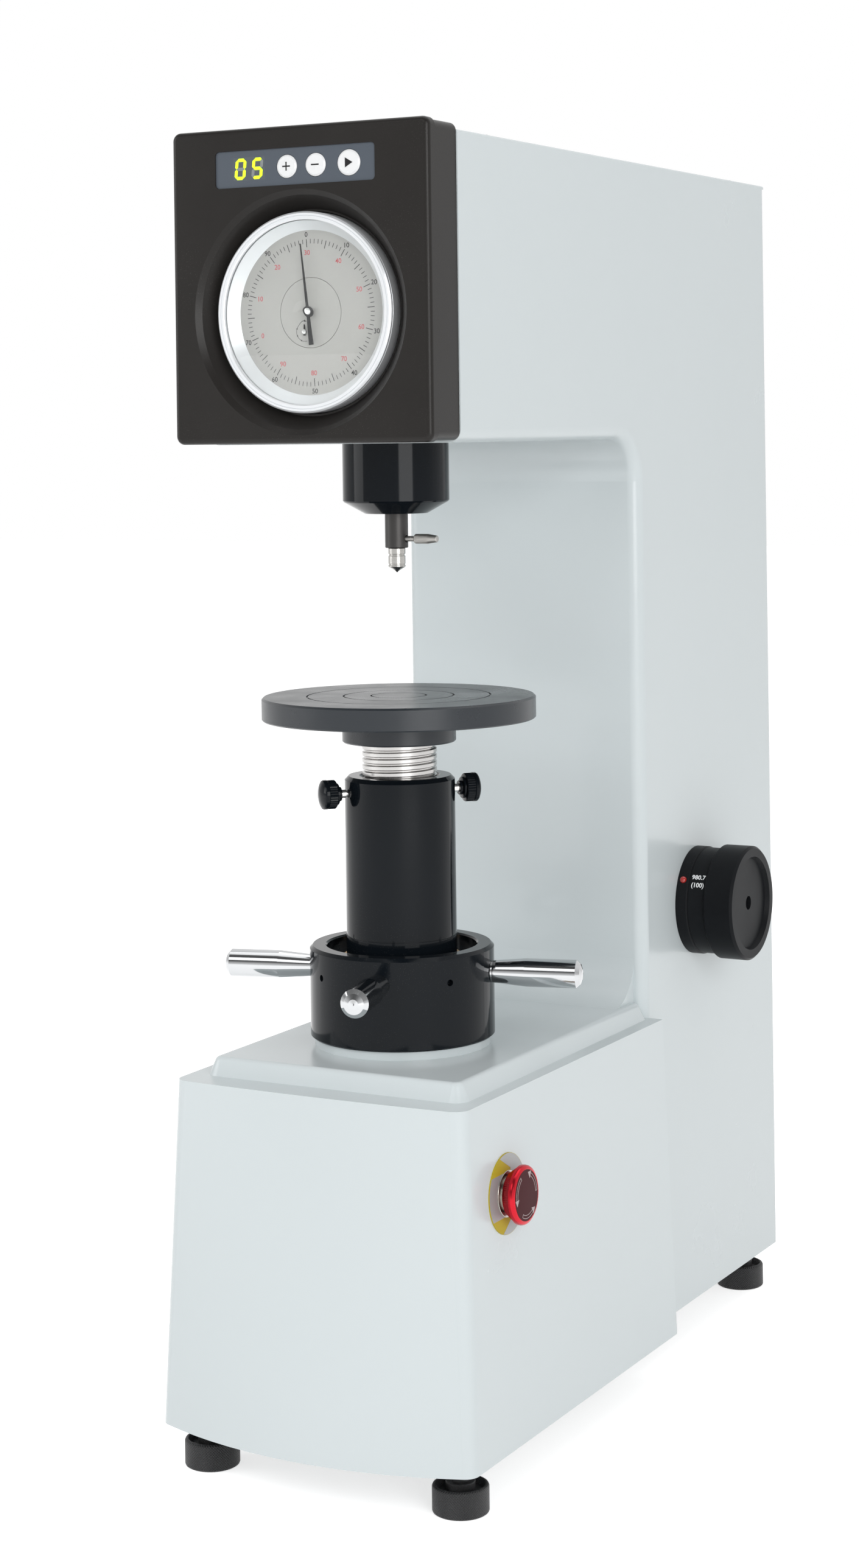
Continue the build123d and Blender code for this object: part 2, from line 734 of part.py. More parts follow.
def led_display():
    depth = BOARD_SET_BACK - PANEL_SET_BACK
    return led_plane * Pos(0, 0, -depth) * extrude(Rectangle(LED_WIDTH, LED_DEPTH), depth)


def push_button(x, radius):
    """Round button with a softly domed cap and a stem behind the panel."""
    front = panel_front - BUTTON_PROUD
    axis = Plane(origin=(x, front, PANEL_HEIGHT), x_dir=(1, 0, 0), z_dir=(0, 1, 0))
    return turned_on(
        axis,
        [
            (0, 0),
            (radius - 1.0, 0.15),
            (radius, 0.9),
            (radius, BUTTON_LENGTH - 3),
            (radius - 3, BUTTON_LENGTH - 3),
            (radius - 3, BUTTON_LENGTH),
            (0, BUTTON_LENGTH),
        ],
    )


def control_board():
    """Circuit board on posts behind the panel, with a key switch behind each button."""
    z0, z1 = PANEL_HEIGHT - 9.5, PANEL_HEIGHT + 9.5
    x0, x1 = PANEL_X - PANEL_WIDTH / 2, PANEL_X + PANEL_WIDTH / 2
    board = block(x0, x1, board_front, board_front + BOARD_THICKNESS, z0, z1)
    switch = panel_front - BUTTON_PROUD + BUTTON_LENGTH + BUTTON_TRAVEL + GAP
    for x, _ in BUTTONS.values():
        board = board + rod_y(2.0, switch, board_front, x, PANEL_HEIGHT)
    for x in (x0 + 3, x1 - 3):
        for z in (z0 + 3, z1 - 3):
            board = board + rod_y(2.2, COVER_FRONT + COVER_WALL, board_front, x, z)
    return board


keep("head_cover", head_cover())
keep("control_panel", control_panel())
keep("led_display", led_display())
keep("control_board", control_board())
for button, (button_x, button_radius) in BUTTONS.items():
    keep(button, push_button(button_x, button_radius))


# ---------------------------------------------------------------- dial
def dial_bezel():
    """Silver ring with a conical inner wall between the glass and the face."""
    back = BEZEL_DEPTH
    return turned_on(
        bezel_plane,
        [
            (BEZEL_INNER_RADIUS, BEZEL_LIP),
            (BEZEL_INNER_RADIUS, 0.5),
            (BEZEL_INNER_RADIUS + 0.5, 0),
            (BEZEL_RADIUS - 1.0, 0),
            (BEZEL_RADIUS, 1.0),
            (BEZEL_RADIUS, back),
            (BEZEL_SEAT_RADIUS, back),
            (BEZEL_SEAT_RADIUS, FACE_DEPTH),
            (BEZEL_BASE_RADIUS, FACE_DEPTH),
            (BEZEL_BORE_RADIUS, BEZEL_LIP + GLASS_THICKNESS),
            (BEZEL_SEAT_RADIUS, BEZEL_LIP + GLASS_THICKNESS),
            (BEZEL_SEAT_RADIUS, BEZEL_LIP),
        ],
    )


def dial_glass():
    """Watch glass: a flat rim with a shallow dome inside the bezel's lip."""
    rim = BEZEL_SEAT_RADIUS - SEAT
    dome = BEZEL_INNER_RADIUS - GAP
    front, back = BEZEL_LIP, BEZEL_LIP + GLASS_THICKNESS
    ball = (dome**2 + GLASS_RISE**2) / (2 * GLASS_RISE)
    disc = Pos(0, 0, front) * extrude(Circle(rim), GLASS_THICKNESS)
    cap = Pos(0, 0, ball + front - GLASS_RISE) * Sphere(ball) & Pos(0, 0, front - 10) * extrude(
        Circle(dome), 10.5
    )
    hollow = Pos(0, 0, ball + back - GLASS_RISE) * Sphere(ball) & Pos(0, 0, front - 10) * extrude(
        Circle(dome), 10 + GLASS_THICKNESS
    )
    return bezel_plane * (disc + cap - hollow)


def dial_face():
    """Graduated ring that turns with the bezel."""
    return bezel_plane * Pos(0, 0, FACE_DEPTH) * extrude(
        Circle(BEZEL_SEAT_RADIUS - SEAT) - Circle(CENTRE_RADIUS + GAP), FACE_THICKNESS
    )


def dial_centre():
    """Fixed middle of the dial with the turn counter."""
    disc = bezel_plane * Pos(0, 0, FACE_DEPTH) * extrude(
        Circle(CENTRE_RADIUS) - Circle(2.0), FACE_THICKNESS + GAP
    )
    return disc - bezel_plane * Pos(SUB_DIAL_X, SUB_DIAL_DROP, 0) * extrude(Circle(1.2), 20)


def dial_case():
    """Movement housing behind the bezel, bored for the two arbors."""
    start = BEZEL_DEPTH + GAP
    case = bezel_plane * Pos(0, 0, start) * extrude(Circle(DIAL_CASE_RADIUS), DIAL_CASE_DEPTH)
    face_end = FACE_DEPTH + FACE_THICKNESS
    spigot = bezel_plane * Pos(0, 0, face_end + GAP) * extrude(
        Circle(BEZEL_SEAT_RADIUS - 6), start - face_end
    )
    bores = bezel_plane * extrude(Circle(ARBOR_RADIUS + RUN), POINTER_HEIGHT + ARBOR_LENGTH + 1)
    counter_axis = bezel_plane * Pos(SUB_DIAL_X, SUB_DIAL_DROP, 0)
    small = counter_axis * extrude(Circle(ARBOR_RADIUS / 2 + RUN), COUNTER_WHEEL_DEPTH)
    pocket = counter_axis * Pos(0, 0, COUNTER_WHEEL_DEPTH - 1) * extrude(
        Circle(COUNTER_WHEEL_RADIUS + 1), DIAL_CASE_DEPTH
    )
    return case + spigot - bores - small - pocket


def dial_bracket():
    """Bar across the head that carries the dial case."""
    front = BEZEL_FRONT + BEZEL_DEPTH + GAP + DIAL_CASE_DEPTH
    inner = inner_half
    half = 20
    bar = block(
        -inner, inner, front, front + DIAL_BRACKET_THICKNESS, DIAL_HEIGHT - half, DIAL_HEIGHT + half
    )
    for side in (-1, 1):
        x0, x1 = sorted((side * inner, side * (inner - DIAL_BRACKET_THICKNESS)))
        bar = bar + block(x0, x1, front, front + 26, DIAL_HEIGHT - half, DIAL_HEIGHT + half)
    return bar


def pointer(length, tail, width, tail_width, hub, height, arbor, reach):
    """Flat tapered hand with a hub and an arbor, pointing along the dial's up direction."""
    blade = extrude(
        make_face(
            Polyline(
                (-width / 2, 0), (-0.2, -length), (0.2, -length), (width / 2, 0),
                (tail_width / 2, tail), (-tail_width / 2, tail), close=True
            )
        ),
        POINTER_THICKNESS,
    )
    boss = extrude(Circle(hub), POINTER_THICKNESS + 0.6)
    shaft = extrude(Circle(arbor), reach)
    return Pos(0, 0, height) * (blade + boss + shaft)


def main_pointer():
    hand = pointer(
        POINTER_LENGTH, POINTER_TAIL, 1.6, 2.8, POINTER_HUB_RADIUS, POINTER_HEIGHT,
        ARBOR_RADIUS, ARBOR_LENGTH,
    )
    return bezel_plane * Rot(0, 0, -POINTER_ANGLE) * hand


def small_pointer():
    height = FACE_DEPTH - POINTER_THICKNESS - GAP
    hand = pointer(
        SUB_POINTER_LENGTH, 2.2, 0.9, 1.0, 1.1, height, ARBOR_RADIUS / 2,
        COUNTER_WHEEL_DEPTH + COUNTER_WHEEL_THICKNESS - height,
    )
    return bezel_plane * Pos(SUB_DIAL_X, SUB_DIAL_DROP, 0) * hand


def counter_wheel():
    """Wheel of the movement that carries the small hand's arbor."""
    disc = Circle(COUNTER_WHEEL_RADIUS) - Circle(ARBOR_RADIUS / 2 + SEAT)
    return bezel_plane * Pos(SUB_DIAL_X, SUB_DIAL_DROP, COUNTER_WHEEL_DEPTH) * extrude(
        disc, COUNTER_WHEEL_THICKNESS
    )


keep("dial_bezel", dial_bezel())
keep("dial_glass", dial_glass())
keep("dial_face", dial_face())
keep("dial_centre", dial_centre())
keep("dial_case", dial_case())
keep("dial_bracket", dial_bracket())
keep("main_pointer", main_pointer())
keep("small_pointer", small_pointer())
keep("counter_wheel", counter_wheel())


# ---------------------------------------------------------------- spindle, indenter and clamp
def spindle_housing():
    bore = BUSH_RADIUS + SEAT
    mouth = SPINDLE_RADIUS + 0.6
    floor = HOUSING_STEP + 4
    return turned(
        [
            (mouth, HOUSING_BOTTOM),
            (HOUSING_CONE_RADIUS, HOUSING_BOTTOM),
            (HOUSING_RADIUS - 0.8, HOUSING_STEP - 0.3),
            (HOUSING_RADIUS, HOUSING_STEP + 0.6),
            (HOUSING_RADIUS, HEAD_UNDERSIDE),
            (HOUSING_NECK_RADIUS, HEAD_UNDERSIDE),
            (HOUSING_NECK_RADIUS, HOUSING_TOP),
            (bore, HOUSING_TOP),
            (bore, floor),
            (mouth, floor),
        ]
    )


def spindle_bushes():
    low = HOUSING_STEP + 4
    bushes = [
        tube(BUSH_RADIUS, SPINDLE_RADIUS + RUN, z, z + BUSH_LENGTH)
        for z in (low, HOUSING_TOP - BUSH_LENGTH)
    ]
    return Compound(children=bushes)


def spindle():
    body = turned(
        [
            (0, SPINDLE_BOTTOM),
            (SPINDLE_RADIUS - 0.4, SPINDLE_BOTTOM),
            (SPINDLE_RADIUS, SPINDLE_BOTTOM + 0.4),
            (SPINDLE_RADIUS, SPINDLE_TOP - 4),
            (SPINDLE_RADIUS - 3, SPINDLE_TOP),
            (0, SPINDLE_TOP),
        ]
    )
    body = body - rod(
        INDENTER_SHANK_RADIUS + SEAT, SPINDLE_BOTTOM - 1, SPINDLE_BOTTOM + INDENTER_SHANK_LENGTH + 1
    )
    return body - rod_x(CLAMP_THREAD + RUN, 0, SPINDLE_RADIUS + 1, AXIS_Y, CLAMP_HEIGHT)


def indenter():
    r = INDENTER_RADIUS
    tip, top = INDENTER_TIP, SPINDLE_BOTTOM
    body = turned(
        [
            (0, tip),
            (1.6, tip + INDENTER_CONE * 0.42),
            (r - 0.5, tip + INDENTER_CONE),
            (r, tip + INDENTER_CONE + 0.5),
            (r, tip + 4.6),
            (r - 0.4, tip + 4.8),
            (r - 0.4, tip + 5.3),
            (r, tip + 5.5),
            (r, tip + 10.2),
            (r - 0.5, tip + 10.5),
            (r - 0.5, tip + 11.3),
            (r, tip + 11.6),
            (r, top - 0.4),
            (r - 0.4, top),
            (INDENTER_SHANK_RADIUS, top),
            (INDENTER_SHANK_RADIUS, top + INDENTER_SHANK_LENGTH),
            (0, top + INDENTER_SHANK_LENGTH),
        ]
    )
    flat = block(
        INDENTER_SHANK_RADIUS - 0.6, INDENTER_SHANK_RADIUS + 1, AXIS_Y - 4, AXIS_Y + 4,
        CLAMP_HEIGHT - 4, CLAMP_HEIGHT + 4,
    )
    return body - flat


def indenter_clamp_screw():
    axis = Plane(origin=(0, AXIS_Y, CLAMP_HEIGHT), x_dir=(0, 1, 0), z_dir=(1, 0, 0))
    start = INDENTER_SHANK_RADIUS - 0.6 + GAP
    neck = SPINDLE_RADIUS + 4.6
    return turned_on(
        axis,
        [
            (0, start),
            (CLAMP_THREAD, start),
            (CLAMP_THREAD, neck),
            (CLAMP_KNOB - 0.4, neck),
            (CLAMP_KNOB, neck + 0.4),
            (CLAMP_KNOB, CLAMP_REACH - 5.5),
            (CLAMP_KNOB - 1.0, CLAMP_REACH),
            (0, CLAMP_REACH),
        ],
    )


keep("spindle_housing", spindle_housing())
keep("spindle_bushes", spindle_bushes())
keep("spindle", spindle())
keep("indenter", indenter())
keep("indenter_clamp_screw", indenter_clamp_screw())


# ---------------------------------------------------------------- main lever and weights
pivot_y = AXIS_Y - LEVER_SHORT_ARM
tail_y = pivot_y + LEVER_LONG_ARM
ridge_height = PIVOT_HEIGHT + LEVER_TAIL_DEPTH * 0.75


def load_lever():
    """One-armed lever: pivot at the front, knife edge over the spindle, ridge at the tail."""
    half = LEVER_DEPTH / 2
    tail = LEVER_TAIL_DEPTH / 2
    y, z = pivot_y, PIVOT_HEIGHT
    knife = SPINDLE_TOP + GAP
    profile = Plane.YZ * make_face(
        Polyline(
            (y - half, z - half + 3),
            (y - half, z + half - 3),
            (y - half + 3, z + half),
            (y + half, z + half),
            (tail_y - 14, z + tail),
            (tail_y - 4, z + tail),
            (tail_y, ridge_height),
            (tail_y + 4, z + tail),
            (tail_y + 12, z + tail),
            (tail_y + 12, z - tail),
            (tail_y - 14, z - tail),
            (AXIS_Y + half, z - half),
            (AXIS_Y + 4, z - half),
            (AXIS_Y, knife),
            (AXIS_Y - 4, z - half),
            (y - half + 3, z - half),
            close=True,
        )
    )
    lever = extrude(profile, LEVER_WIDTH / 2, both=True)
    return lever - rod_x(PIVOT_RADIUS + RUN, -LEVER_WIDTH, LEVER_WIDTH, y, z)


def lever_bracket():
    """Beam across the head with two cheeks that hold the pivot pin."""
    inner = inner_half
    top = PIVOT_HEIGHT + LEVER_DEPTH / 2 + 7
    y0, y1 = pivot_y - 11, pivot_y + 11
    beam = block(-inner, inner, y0, y1, top, top + 18)
    for side in (-1, 1):
        x0, x1 = sorted((side * (LEVER_WIDTH / 2 + 0.6), side * (LEVER_WIDTH / 2 + 9)))
        beam = beam + block(x0, x1, y0, y1, PIVOT_HEIGHT - 12, top)
    reach = 2 * LEVER_WIDTH
    return beam - rod_x(PIVOT_RADIUS + SEAT, -reach, reach, pivot_y, PIVOT_HEIGHT)


def lever_pivot_pin():
    reach = LEVER_WIDTH / 2 + 9
    return rod_x(PIVOT_RADIUS, -reach, reach, pivot_y, PIVOT_HEIGHT)


def weight_hanger():
    """Yoke over the lever's tail, rod and plate."""
    inner = LEVER_WIDTH / 2 + 1.2
    outer = inner + 5
    bar_bottom = ridge_height + GAP
    low = PIVOT_HEIGHT - LEVER_TAIL_DEPTH / 2 - 14
    hanger = block(-outer, outer, tail_y - 4, tail_y + 4, bar_bottom, bar_bottom + 8)
    for side in (-1, 1):
        x0, x1 = sorted((side * inner, side * outer))
        hanger = hanger + block(x0, x1, tail_y - 4, tail_y + 4, low, bar_bottom)
    hanger = hanger + block(-outer, outer, tail_y - 6, tail_y + 6, low - 8, low)
    hanger = hanger + rod(HANGER_ROD_RADIUS, WEIGHT_BASE, low - 8, 0, tail_y)
    return hanger + rod(HANGER_ROD_RADIUS * 3.5, WEIGHT_BASE - 8, WEIGHT_BASE, 0, tail_y)


def load_weights():
    discs = []
    for i in range(WEIGHT_COUNT):
        low = WEIGHT_BASE + i * WEIGHT_THICKNESS + SEAT
        high = low + WEIGHT_THICKNESS - 1
        discs.append(tube(WEIGHT_RADIUS - 4 * i, HANGER_ROD_RADIUS + 0.4, low, high, 0, tail_y))
    return Compound(children=discs)


keep("load_lever", load_lever())
keep("lever_bracket", lever_bracket())
keep("lever_pivot_pin", lever_pivot_pin())
keep("weight_hanger", weight_hanger())
keep("load_weights", load_weights())


# ---------------------------------------------------------------- elevating screw and table
def elevating_screw():
    body = turned(
        [
            (0, SCREW_BOTTOM),
            (SCREW_RADIUS - 2, SCREW_BOTTOM),
            (SCREW_RADIUS, SCREW_BOTTOM + 2),
            (SCREW_RADIUS, SCREW_TOP),
            (0, SCREW_TOP),
        ]
    )
    body = body - rod(TABLE_STEM_RADIUS + SEAT, SCREW_TOP - TABLE_STEM_LENGTH - 1, SCREW_TOP + 1)
    slot_top = SCREW_TOP - 20
    return body - block(
        -KEYWAY_WIDTH / 2,
        KEYWAY_WIDTH / 2,
        AXIS_Y + SCREW_RADIUS - KEYWAY_DEPTH,
        AXIS_Y + SCREW_RADIUS + 5,
        SCREW_BOTTOM - 1,
        slot_top,
    )


def work_table():
    under = TABLE_TOP - TABLE_THICKNESS
    boss_foot = under - TABLE_BOSS_HEIGHT
    r = TABLE_RADIUS
    table = turned(
        [
            (0, TABLE_TOP),
            (r - TABLE_CHAMFER, TABLE_TOP),
            (r, TABLE_TOP - TABLE_CHAMFER),
            (r, under + 0.8),
            (r - 0.8, under),
            (TABLE_BOSS_RADIUS, under),
            (TABLE_BOSS_RADIUS, boss_foot),
            (TABLE_BOSS_RADIUS - 4, boss_foot - 4.5),
            (SCREW_RADIUS + 2.2, SCREW_TOP + 3),
            (SCREW_RADIUS + 1.2, SCREW_TOP),
            (TABLE_STEM_RADIUS, SCREW_TOP),
            (TABLE_STEM_RADIUS, SCREW_TOP - TABLE_STEM_LENGTH),
            (0, SCREW_TOP - TABLE_STEM_LENGTH),
        ]
    )
    for share in TABLE_GROOVES:
        table = table - tube(r * share + 0.45, r * share - 0.45, TABLE_TOP - 0.6, TABLE_TOP + 1)
    return table


def screw_guide():
    guide = tube(GUIDE_RADIUS, SCREW_RADIUS + RUN, GUIDE_BOTTOM, race_seat)
    return guide - block(
        -KEYWAY_WIDTH / 2, KEYWAY_WIDTH / 2, AXIS_Y, AXIS_Y + key_outer + SEAT,
        GUIDE_BOTTOM - 1, GUIDE_BOTTOM + 32,
    )


def screw_key():
    half = KEYWAY_WIDTH / 2 - RUN
    return block(
        -half, half, AXIS_Y + SCREW_RADIUS - KEYWAY_DEPTH + 0.2, AXIS_Y + key_outer,
        GUIDE_BOTTOM, GUIDE_BOTTOM + 32 - SEAT,
    )


keep("elevating_screw", elevating_screw())
keep("work_table", work_table())
keep("screw_guide", screw_guide())
keep("screw_key", screw_key())


# ---------------------------------------------------------------- handwheel
def spoke_plane(index):
    angle = math.radians(SPOKE_ANGLE + 360 / SPOKE_COUNT * index)
    direction = (math.cos(angle), math.sin(angle), 0)
    return Plane(origin=(0, AXIS_Y, SPOKE_HEIGHT), x_dir=(0, 0, 1), z_dir=direction)


def handwheel_hub():
    floor = HUB_TOP - HUB_RECESS_DEPTH
    race_top = HUB_BOTTOM + RACE_THICKNESS
    hub = turned(
        [
            (RACE_OUTER + SEAT, HUB_BOTTOM),
            (HUB_RADIUS - 1, HUB_BOTTOM),
            (HUB_RADIUS, HUB_BOTTOM + 1),
            (HUB_RADIUS, HUB_TOP - HUB_CHAMFER),
            (HUB_RADIUS - HUB_CHAMFER, HUB_TOP),
            (HUB_RECESS_RADIUS + 1, HUB_TOP),
            (HUB_RECESS_RADIUS, HUB_TOP - 1),
            (HUB_RECESS_RADIUS, floor),
            (NUT_RADIUS + SEAT, floor),
            (NUT_RADIUS + SEAT, race_top),
            (RACE_OUTER + SEAT, race_top),
        ]
    )
    for i in range(SPOKE_COUNT):
        axis = spoke_plane(i)
        depth = HUB_RADIUS - SPOKE_STUD_LENGTH
        hub = hub - axis * Pos(0, 0, depth) * extrude(Circle(SPOKE_STUD_RADIUS + SEAT), 30)
        angle = math.radians(SPOKE_ANGLE + 360 / SPOKE_COUNT * (i + 0.5))
        set_screw = Plane(
            origin=(0, AXIS_Y, SPOKE_HEIGHT),
            x_dir=(0, 0, 1),
            z_dir=(math.cos(angle), math.sin(angle), 0),
        )
        hub = hub - set_screw * Pos(0, 0, HUB_RADIUS - 4) * extrude(Circle(SET_SCREW_RADIUS), 10)
    return hub


def handwheel_spokes():
    reach = SPOKE_REACH
    r, neck = SPOKE_RADIUS, SPOKE_NECK_RADIUS
    points = [
        (0, HUB_RADIUS - SPOKE_STUD_LENGTH + 0.5),
        (SPOKE_STUD_RADIUS, HUB_RADIUS - SPOKE_STUD_LENGTH + 0.5),
        (SPOKE_STUD_RADIUS, HUB_RADIUS),
        (neck, HUB_RADIUS),
        (neck, HUB_RADIUS + 1),
        (r, SPOKE_NECK_END),
        (r, reach - SPOKE_DOME),
        (r * 0.72, reach - SPOKE_DOME * 0.35),
        (r * 0.35, reach - SPOKE_DOME * 0.07),
        (0, reach),
    ]
    return Compound(children=[turned_on(spoke_plane(i), points) for i in range(SPOKE_COUNT)])


def sleeve_base():
    return HUB_TOP - HUB_RECESS_DEPTH + GAP


def screw_sleeve():
    base = sleeve_base()
    r = SLEEVE_RADIUS
    groove = base + HUB_RECESS_DEPTH + SLEEVE_GROOVE_HEIGHT
    sleeve = turned(
        [
            (SLEEVE_BORE, base),
            (r - 0.6, base),
            (r, base + 0.6),
            (r, groove),
            (r - 0.5, groove),
            (r - 0.5, groove + 0.8),
            (r, groove + 0.8),
            (r, SLEEVE_TOP - SLEEVE_CHAMFER),
            (r - SLEEVE_CHAMFER, SLEEVE_TOP),
            (SLEEVE_BORE + 1.5, SLEEVE_TOP),
            (SLEEVE_BORE, SLEEVE_TOP - 1.5),
        ]
    )
    for angle in THUMB_ANGLES.values():
        sleeve = sleeve - thumb_plane(angle) * extrude(Circle(THUMB_STEM_RADIUS + RUN), r + 5)
    return sleeve


def thumb_plane(angle):
    turn = math.radians(angle)
    return Plane(
        origin=(0, AXIS_Y, THUMB_HEIGHT), x_dir=(0, 0, 1), z_dir=(math.cos(turn), math.sin(turn), 0)
    )


def thumb_screw(angle):
    start = THUMB_KNOB_START
    end = start + THUMB_KNOB_LENGTH
    r = THUMB_KNOB_RADIUS
    return turned_on(
        thumb_plane(angle),
        [
            (0, SCREW_RADIUS + GAP),
            (THUMB_STEM_RADIUS, SCREW_RADIUS + GAP),
            (THUMB_STEM_RADIUS, start - 3),
            (THUMB_COLLAR_RADIUS, start - 3),
            (THUMB_COLLAR_RADIUS, start),
            (r - 0.8, start),
            (r, start + 0.8),
            (r, end - 0.8),
            (r - 0.8, end),
            (r * 0.55, end + THUMB_DOME * 0.75),
            (0, end + THUMB_DOME),
        ],
    )


keep("handwheel_hub", handwheel_hub())
keep("handwheel_spokes", handwheel_spokes())
nut_bottom, nut_top = HUB_BOTTOM + RACE_THICKNESS, sleeve_base() - GAP
keep("elevating_nut", tube(NUT_RADIUS, SCREW_RADIUS + RUN, nut_bottom, nut_top))
keep("thrust_race", tube(RACE_OUTER, RACE_INNER, HUB_BOTTOM, HUB_BOTTOM + RACE_THICKNESS))
keep("thrust_bearing", tube(RACE_OUTER, RACE_INNER, race_seat, BOSS_TOP))
keep("screw_sleeve", screw_sleeve())
for thumb, thumb_angle in THUMB_ANGLES.items():
    keep(thumb, thumb_screw(thumb_angle))


# ---------------------------------------------------------------- load selector
flange_end = half_body + FLANGE_THICKNESS
ring_start = flange_end + GAP
ring_end = ring_start + NUMBER_RING_WIDTH
knob_end = ring_end + KNOB_WIDTH
selector_axis = Plane(origin=(0, SELECTOR_Y, SELECTOR_HEIGHT), x_dir=(0, 1, 0), z_dir=(1, 0, 0))


def selector_flange():
    flange = turned_on(
        selector_axis,
        [
            (SELECTOR_SHAFT_RADIUS + RUN, half_body),
            (FLANGE_RADIUS, half_body),
            (FLANGE_RADIUS, flange_end - 0.8),
            (FLANGE_RADIUS - 0.8, flange_end),
            (SELECTOR_SHAFT_RADIUS + RUN, flange_end),
        ],
    )
    angle = math.radians(180 - INDEX_ANGLE)
    axis = Plane(
        origin=(half_body + FLANGE_THICKNESS / 2, SELECTOR_Y, SELECTOR_HEIGHT),
        x_dir=(1, 0, 0),
        z_dir=(0, math.cos(angle), math.sin(angle)),
    )
    dot = axis * Pos(0, 0, FLANGE_RADIUS - 1) * extrude(Circle(INDEX_DOT_RADIUS), 1.6)
    return flange + dot


def number_ring():
    return turned_on(
        selector_axis,
        [
            (SELECTOR_SHAFT_RADIUS + SEAT, ring_start),
            (NUMBER_RING_RADIUS, ring_start),
            (NUMBER_RING_RADIUS, ring_end),
            (SELECTOR_SHAFT_RADIUS + SEAT, ring_end),
        ],
    )


def selector_knob():
    dish = knob_end - KNOB_DISH_DEPTH
    r = KNOB_RADIUS
    return turned_on(
        selector_axis,
        [
            (SELECTOR_SHAFT_RADIUS + SEAT, ring_end),
            (r - 0.8, ring_end),
            (r, ring_end + 0.8),
            (r, knob_end - KNOB_CHAMFER),
            (r - KNOB_CHAMFER, knob_end),
            (KNOB_DISH_RADIUS, knob_end),
            (KNOB_DISH_RADIUS - 1.5, dish),
            (KNOB_HOLE_RADIUS, dish),
            (KNOB_HOLE_RADIUS, knob_end - 11),
            (SELECTOR_SHAFT_RADIUS + SEAT, knob_end - 11),
        ],
    )


def selector_shaft():
    shaft = rod_x(SELECTOR_SHAFT_RADIUS, 30, knob_end - 11.2, SELECTOR_Y, SELECTOR_HEIGHT)
    cam = selector_axis * Pos(0, 8, 34) * extrude(Circle(22), 10)
    return shaft + cam


def selector_bearing():
    inner = inner_half
    return selector_axis * Pos(0, 0, inner - 16) * extrude(
        Circle(18) - Circle(SELECTOR_SHAFT_RADIUS + RUN), 16
    )


keep("selector_flange", selector_flange())
keep("number_ring", number_ring())
keep("selector_knob", selector_knob())
keep("selector_shaft", selector_shaft())
keep("selector_bearing", selector_bearing())


# ---------------------------------------------------------------- emergency stop
def estop_turned(points):
    return turned_on(estop_plane, points)


def estop_plate():
    return estop_turned(
        [
            (ESTOP_BARREL_RADIUS + SEAT, 0),
            (ESTOP_PLATE_RADIUS, 0),
            (ESTOP_PLATE_RADIUS, ESTOP_PLATE_THICKNESS),
            (ESTOP_BARREL_RADIUS + SEAT, ESTOP_PLATE_THICKNESS),
        ]
    )


def estop_barrel():
    bore = ESTOP_STEM_RADIUS + RUN
    return estop_turned(
        [
            (bore, -26),
            (ESTOP_BARREL_RADIUS + 5, -26),
            (ESTOP_BARREL_RADIUS + 5, -WALL - GAP),
            (ESTOP_BARREL_RADIUS, -WALL - GAP),
            (ESTOP_BARREL_RADIUS, ESTOP_PLATE_THICKNESS),
            (ESTOP_COLLAR_RADIUS, ESTOP_PLATE_THICKNESS),
            (ESTOP_COLLAR_RADIUS, ESTOP_COLLAR_END - 0.2),
            (ESTOP_COLLAR_RADIUS - 0.2, ESTOP_COLLAR_END),
            (ESTOP_NOSE_RADIUS, ESTOP_COLLAR_END),
            (ESTOP_NOSE_RADIUS, ESTOP_NOSE_END),
            (bore, ESTOP_NOSE_END),
        ]
    )


def estop_stem():
    shoulder = ESTOP_HEAD_START + 4.7
    return estop_turned(
        [
            (0, -20),
            (ESTOP_STEM_RADIUS, -20),
            (ESTOP_STEM_RADIUS, shoulder),
            (ESTOP_SPIGOT_RADIUS, shoulder),
            (ESTOP_SPIGOT_RADIUS, shoulder + 3.5),
            (0, shoulder + 3.5),
        ]
    )


def estop_head():
    shoulder = ESTOP_HEAD_START + 4.7 + GAP
    r = ESTOP_HEAD_RADIUS
    return estop_turned(
        [
            (ESTOP_NOSE_RADIUS + 0.6, ESTOP_HEAD_START),
            (ESTOP_BACK_RADIUS - 0.4, ESTOP_HEAD_START),
            (ESTOP_BACK_RADIUS, ESTOP_HEAD_START + 0.4),
            (r - 0.7, ESTOP_REACH - 4.4),
            (r, ESTOP_REACH - 2.6),
            (r - 0.3, ESTOP_REACH - 1.2),
            (r - 1.2, ESTOP_REACH - 0.4),
            (r * 0.5, ESTOP_REACH - 0.1),
            (0, ESTOP_REACH),
            (0, shoulder + 3.5),
            (ESTOP_SPIGOT_RADIUS + RUN, shoulder + 3.5),
            (ESTOP_SPIGOT_RADIUS + RUN, shoulder),
            (ESTOP_NOSE_RADIUS + 0.6, shoulder),
        ]
    )


keep("estop_plate", estop_plate())
keep("estop_barrel", estop_barrel())
keep("estop_stem", estop_stem())
keep("estop_head", estop_head())


# ---------------------------------------------------------------- load drive
def gear_motor():
    """Geared motor on a frame that also guides the lifting rod."""
    motor = rod_x(MOTOR_RADIUS, -74, -22, tail_y, MOTOR_HEIGHT)
    frame = block(-22, -12, tail_y - 40, tail_y + 40, BODY_BOTTOM + 20, MOTOR_HEIGHT + 90)
    low = BODY_BOTTOM + 14
    foot = block(-inner_half, inner_half, tail_y - 40, tail_y + 40, low, low + 6)
    shelf = block(-12, 24, tail_y - 20, tail_y + 20, MOTOR_HEIGHT + 74, MOTOR_HEIGHT + 90)
    frame = frame + foot + shelf - rod_x(8 + RUN, -24, -10, tail_y, MOTOR_HEIGHT)
    guide = rod(LIFT_ROD_RADIUS + RUN, MOTOR_HEIGHT + 70, MOTOR_HEIGHT + 95, 0, tail_y)
    return motor + frame - guide - rod_x(8 + RUN, -40, -10, tail_y, MOTOR_HEIGHT)


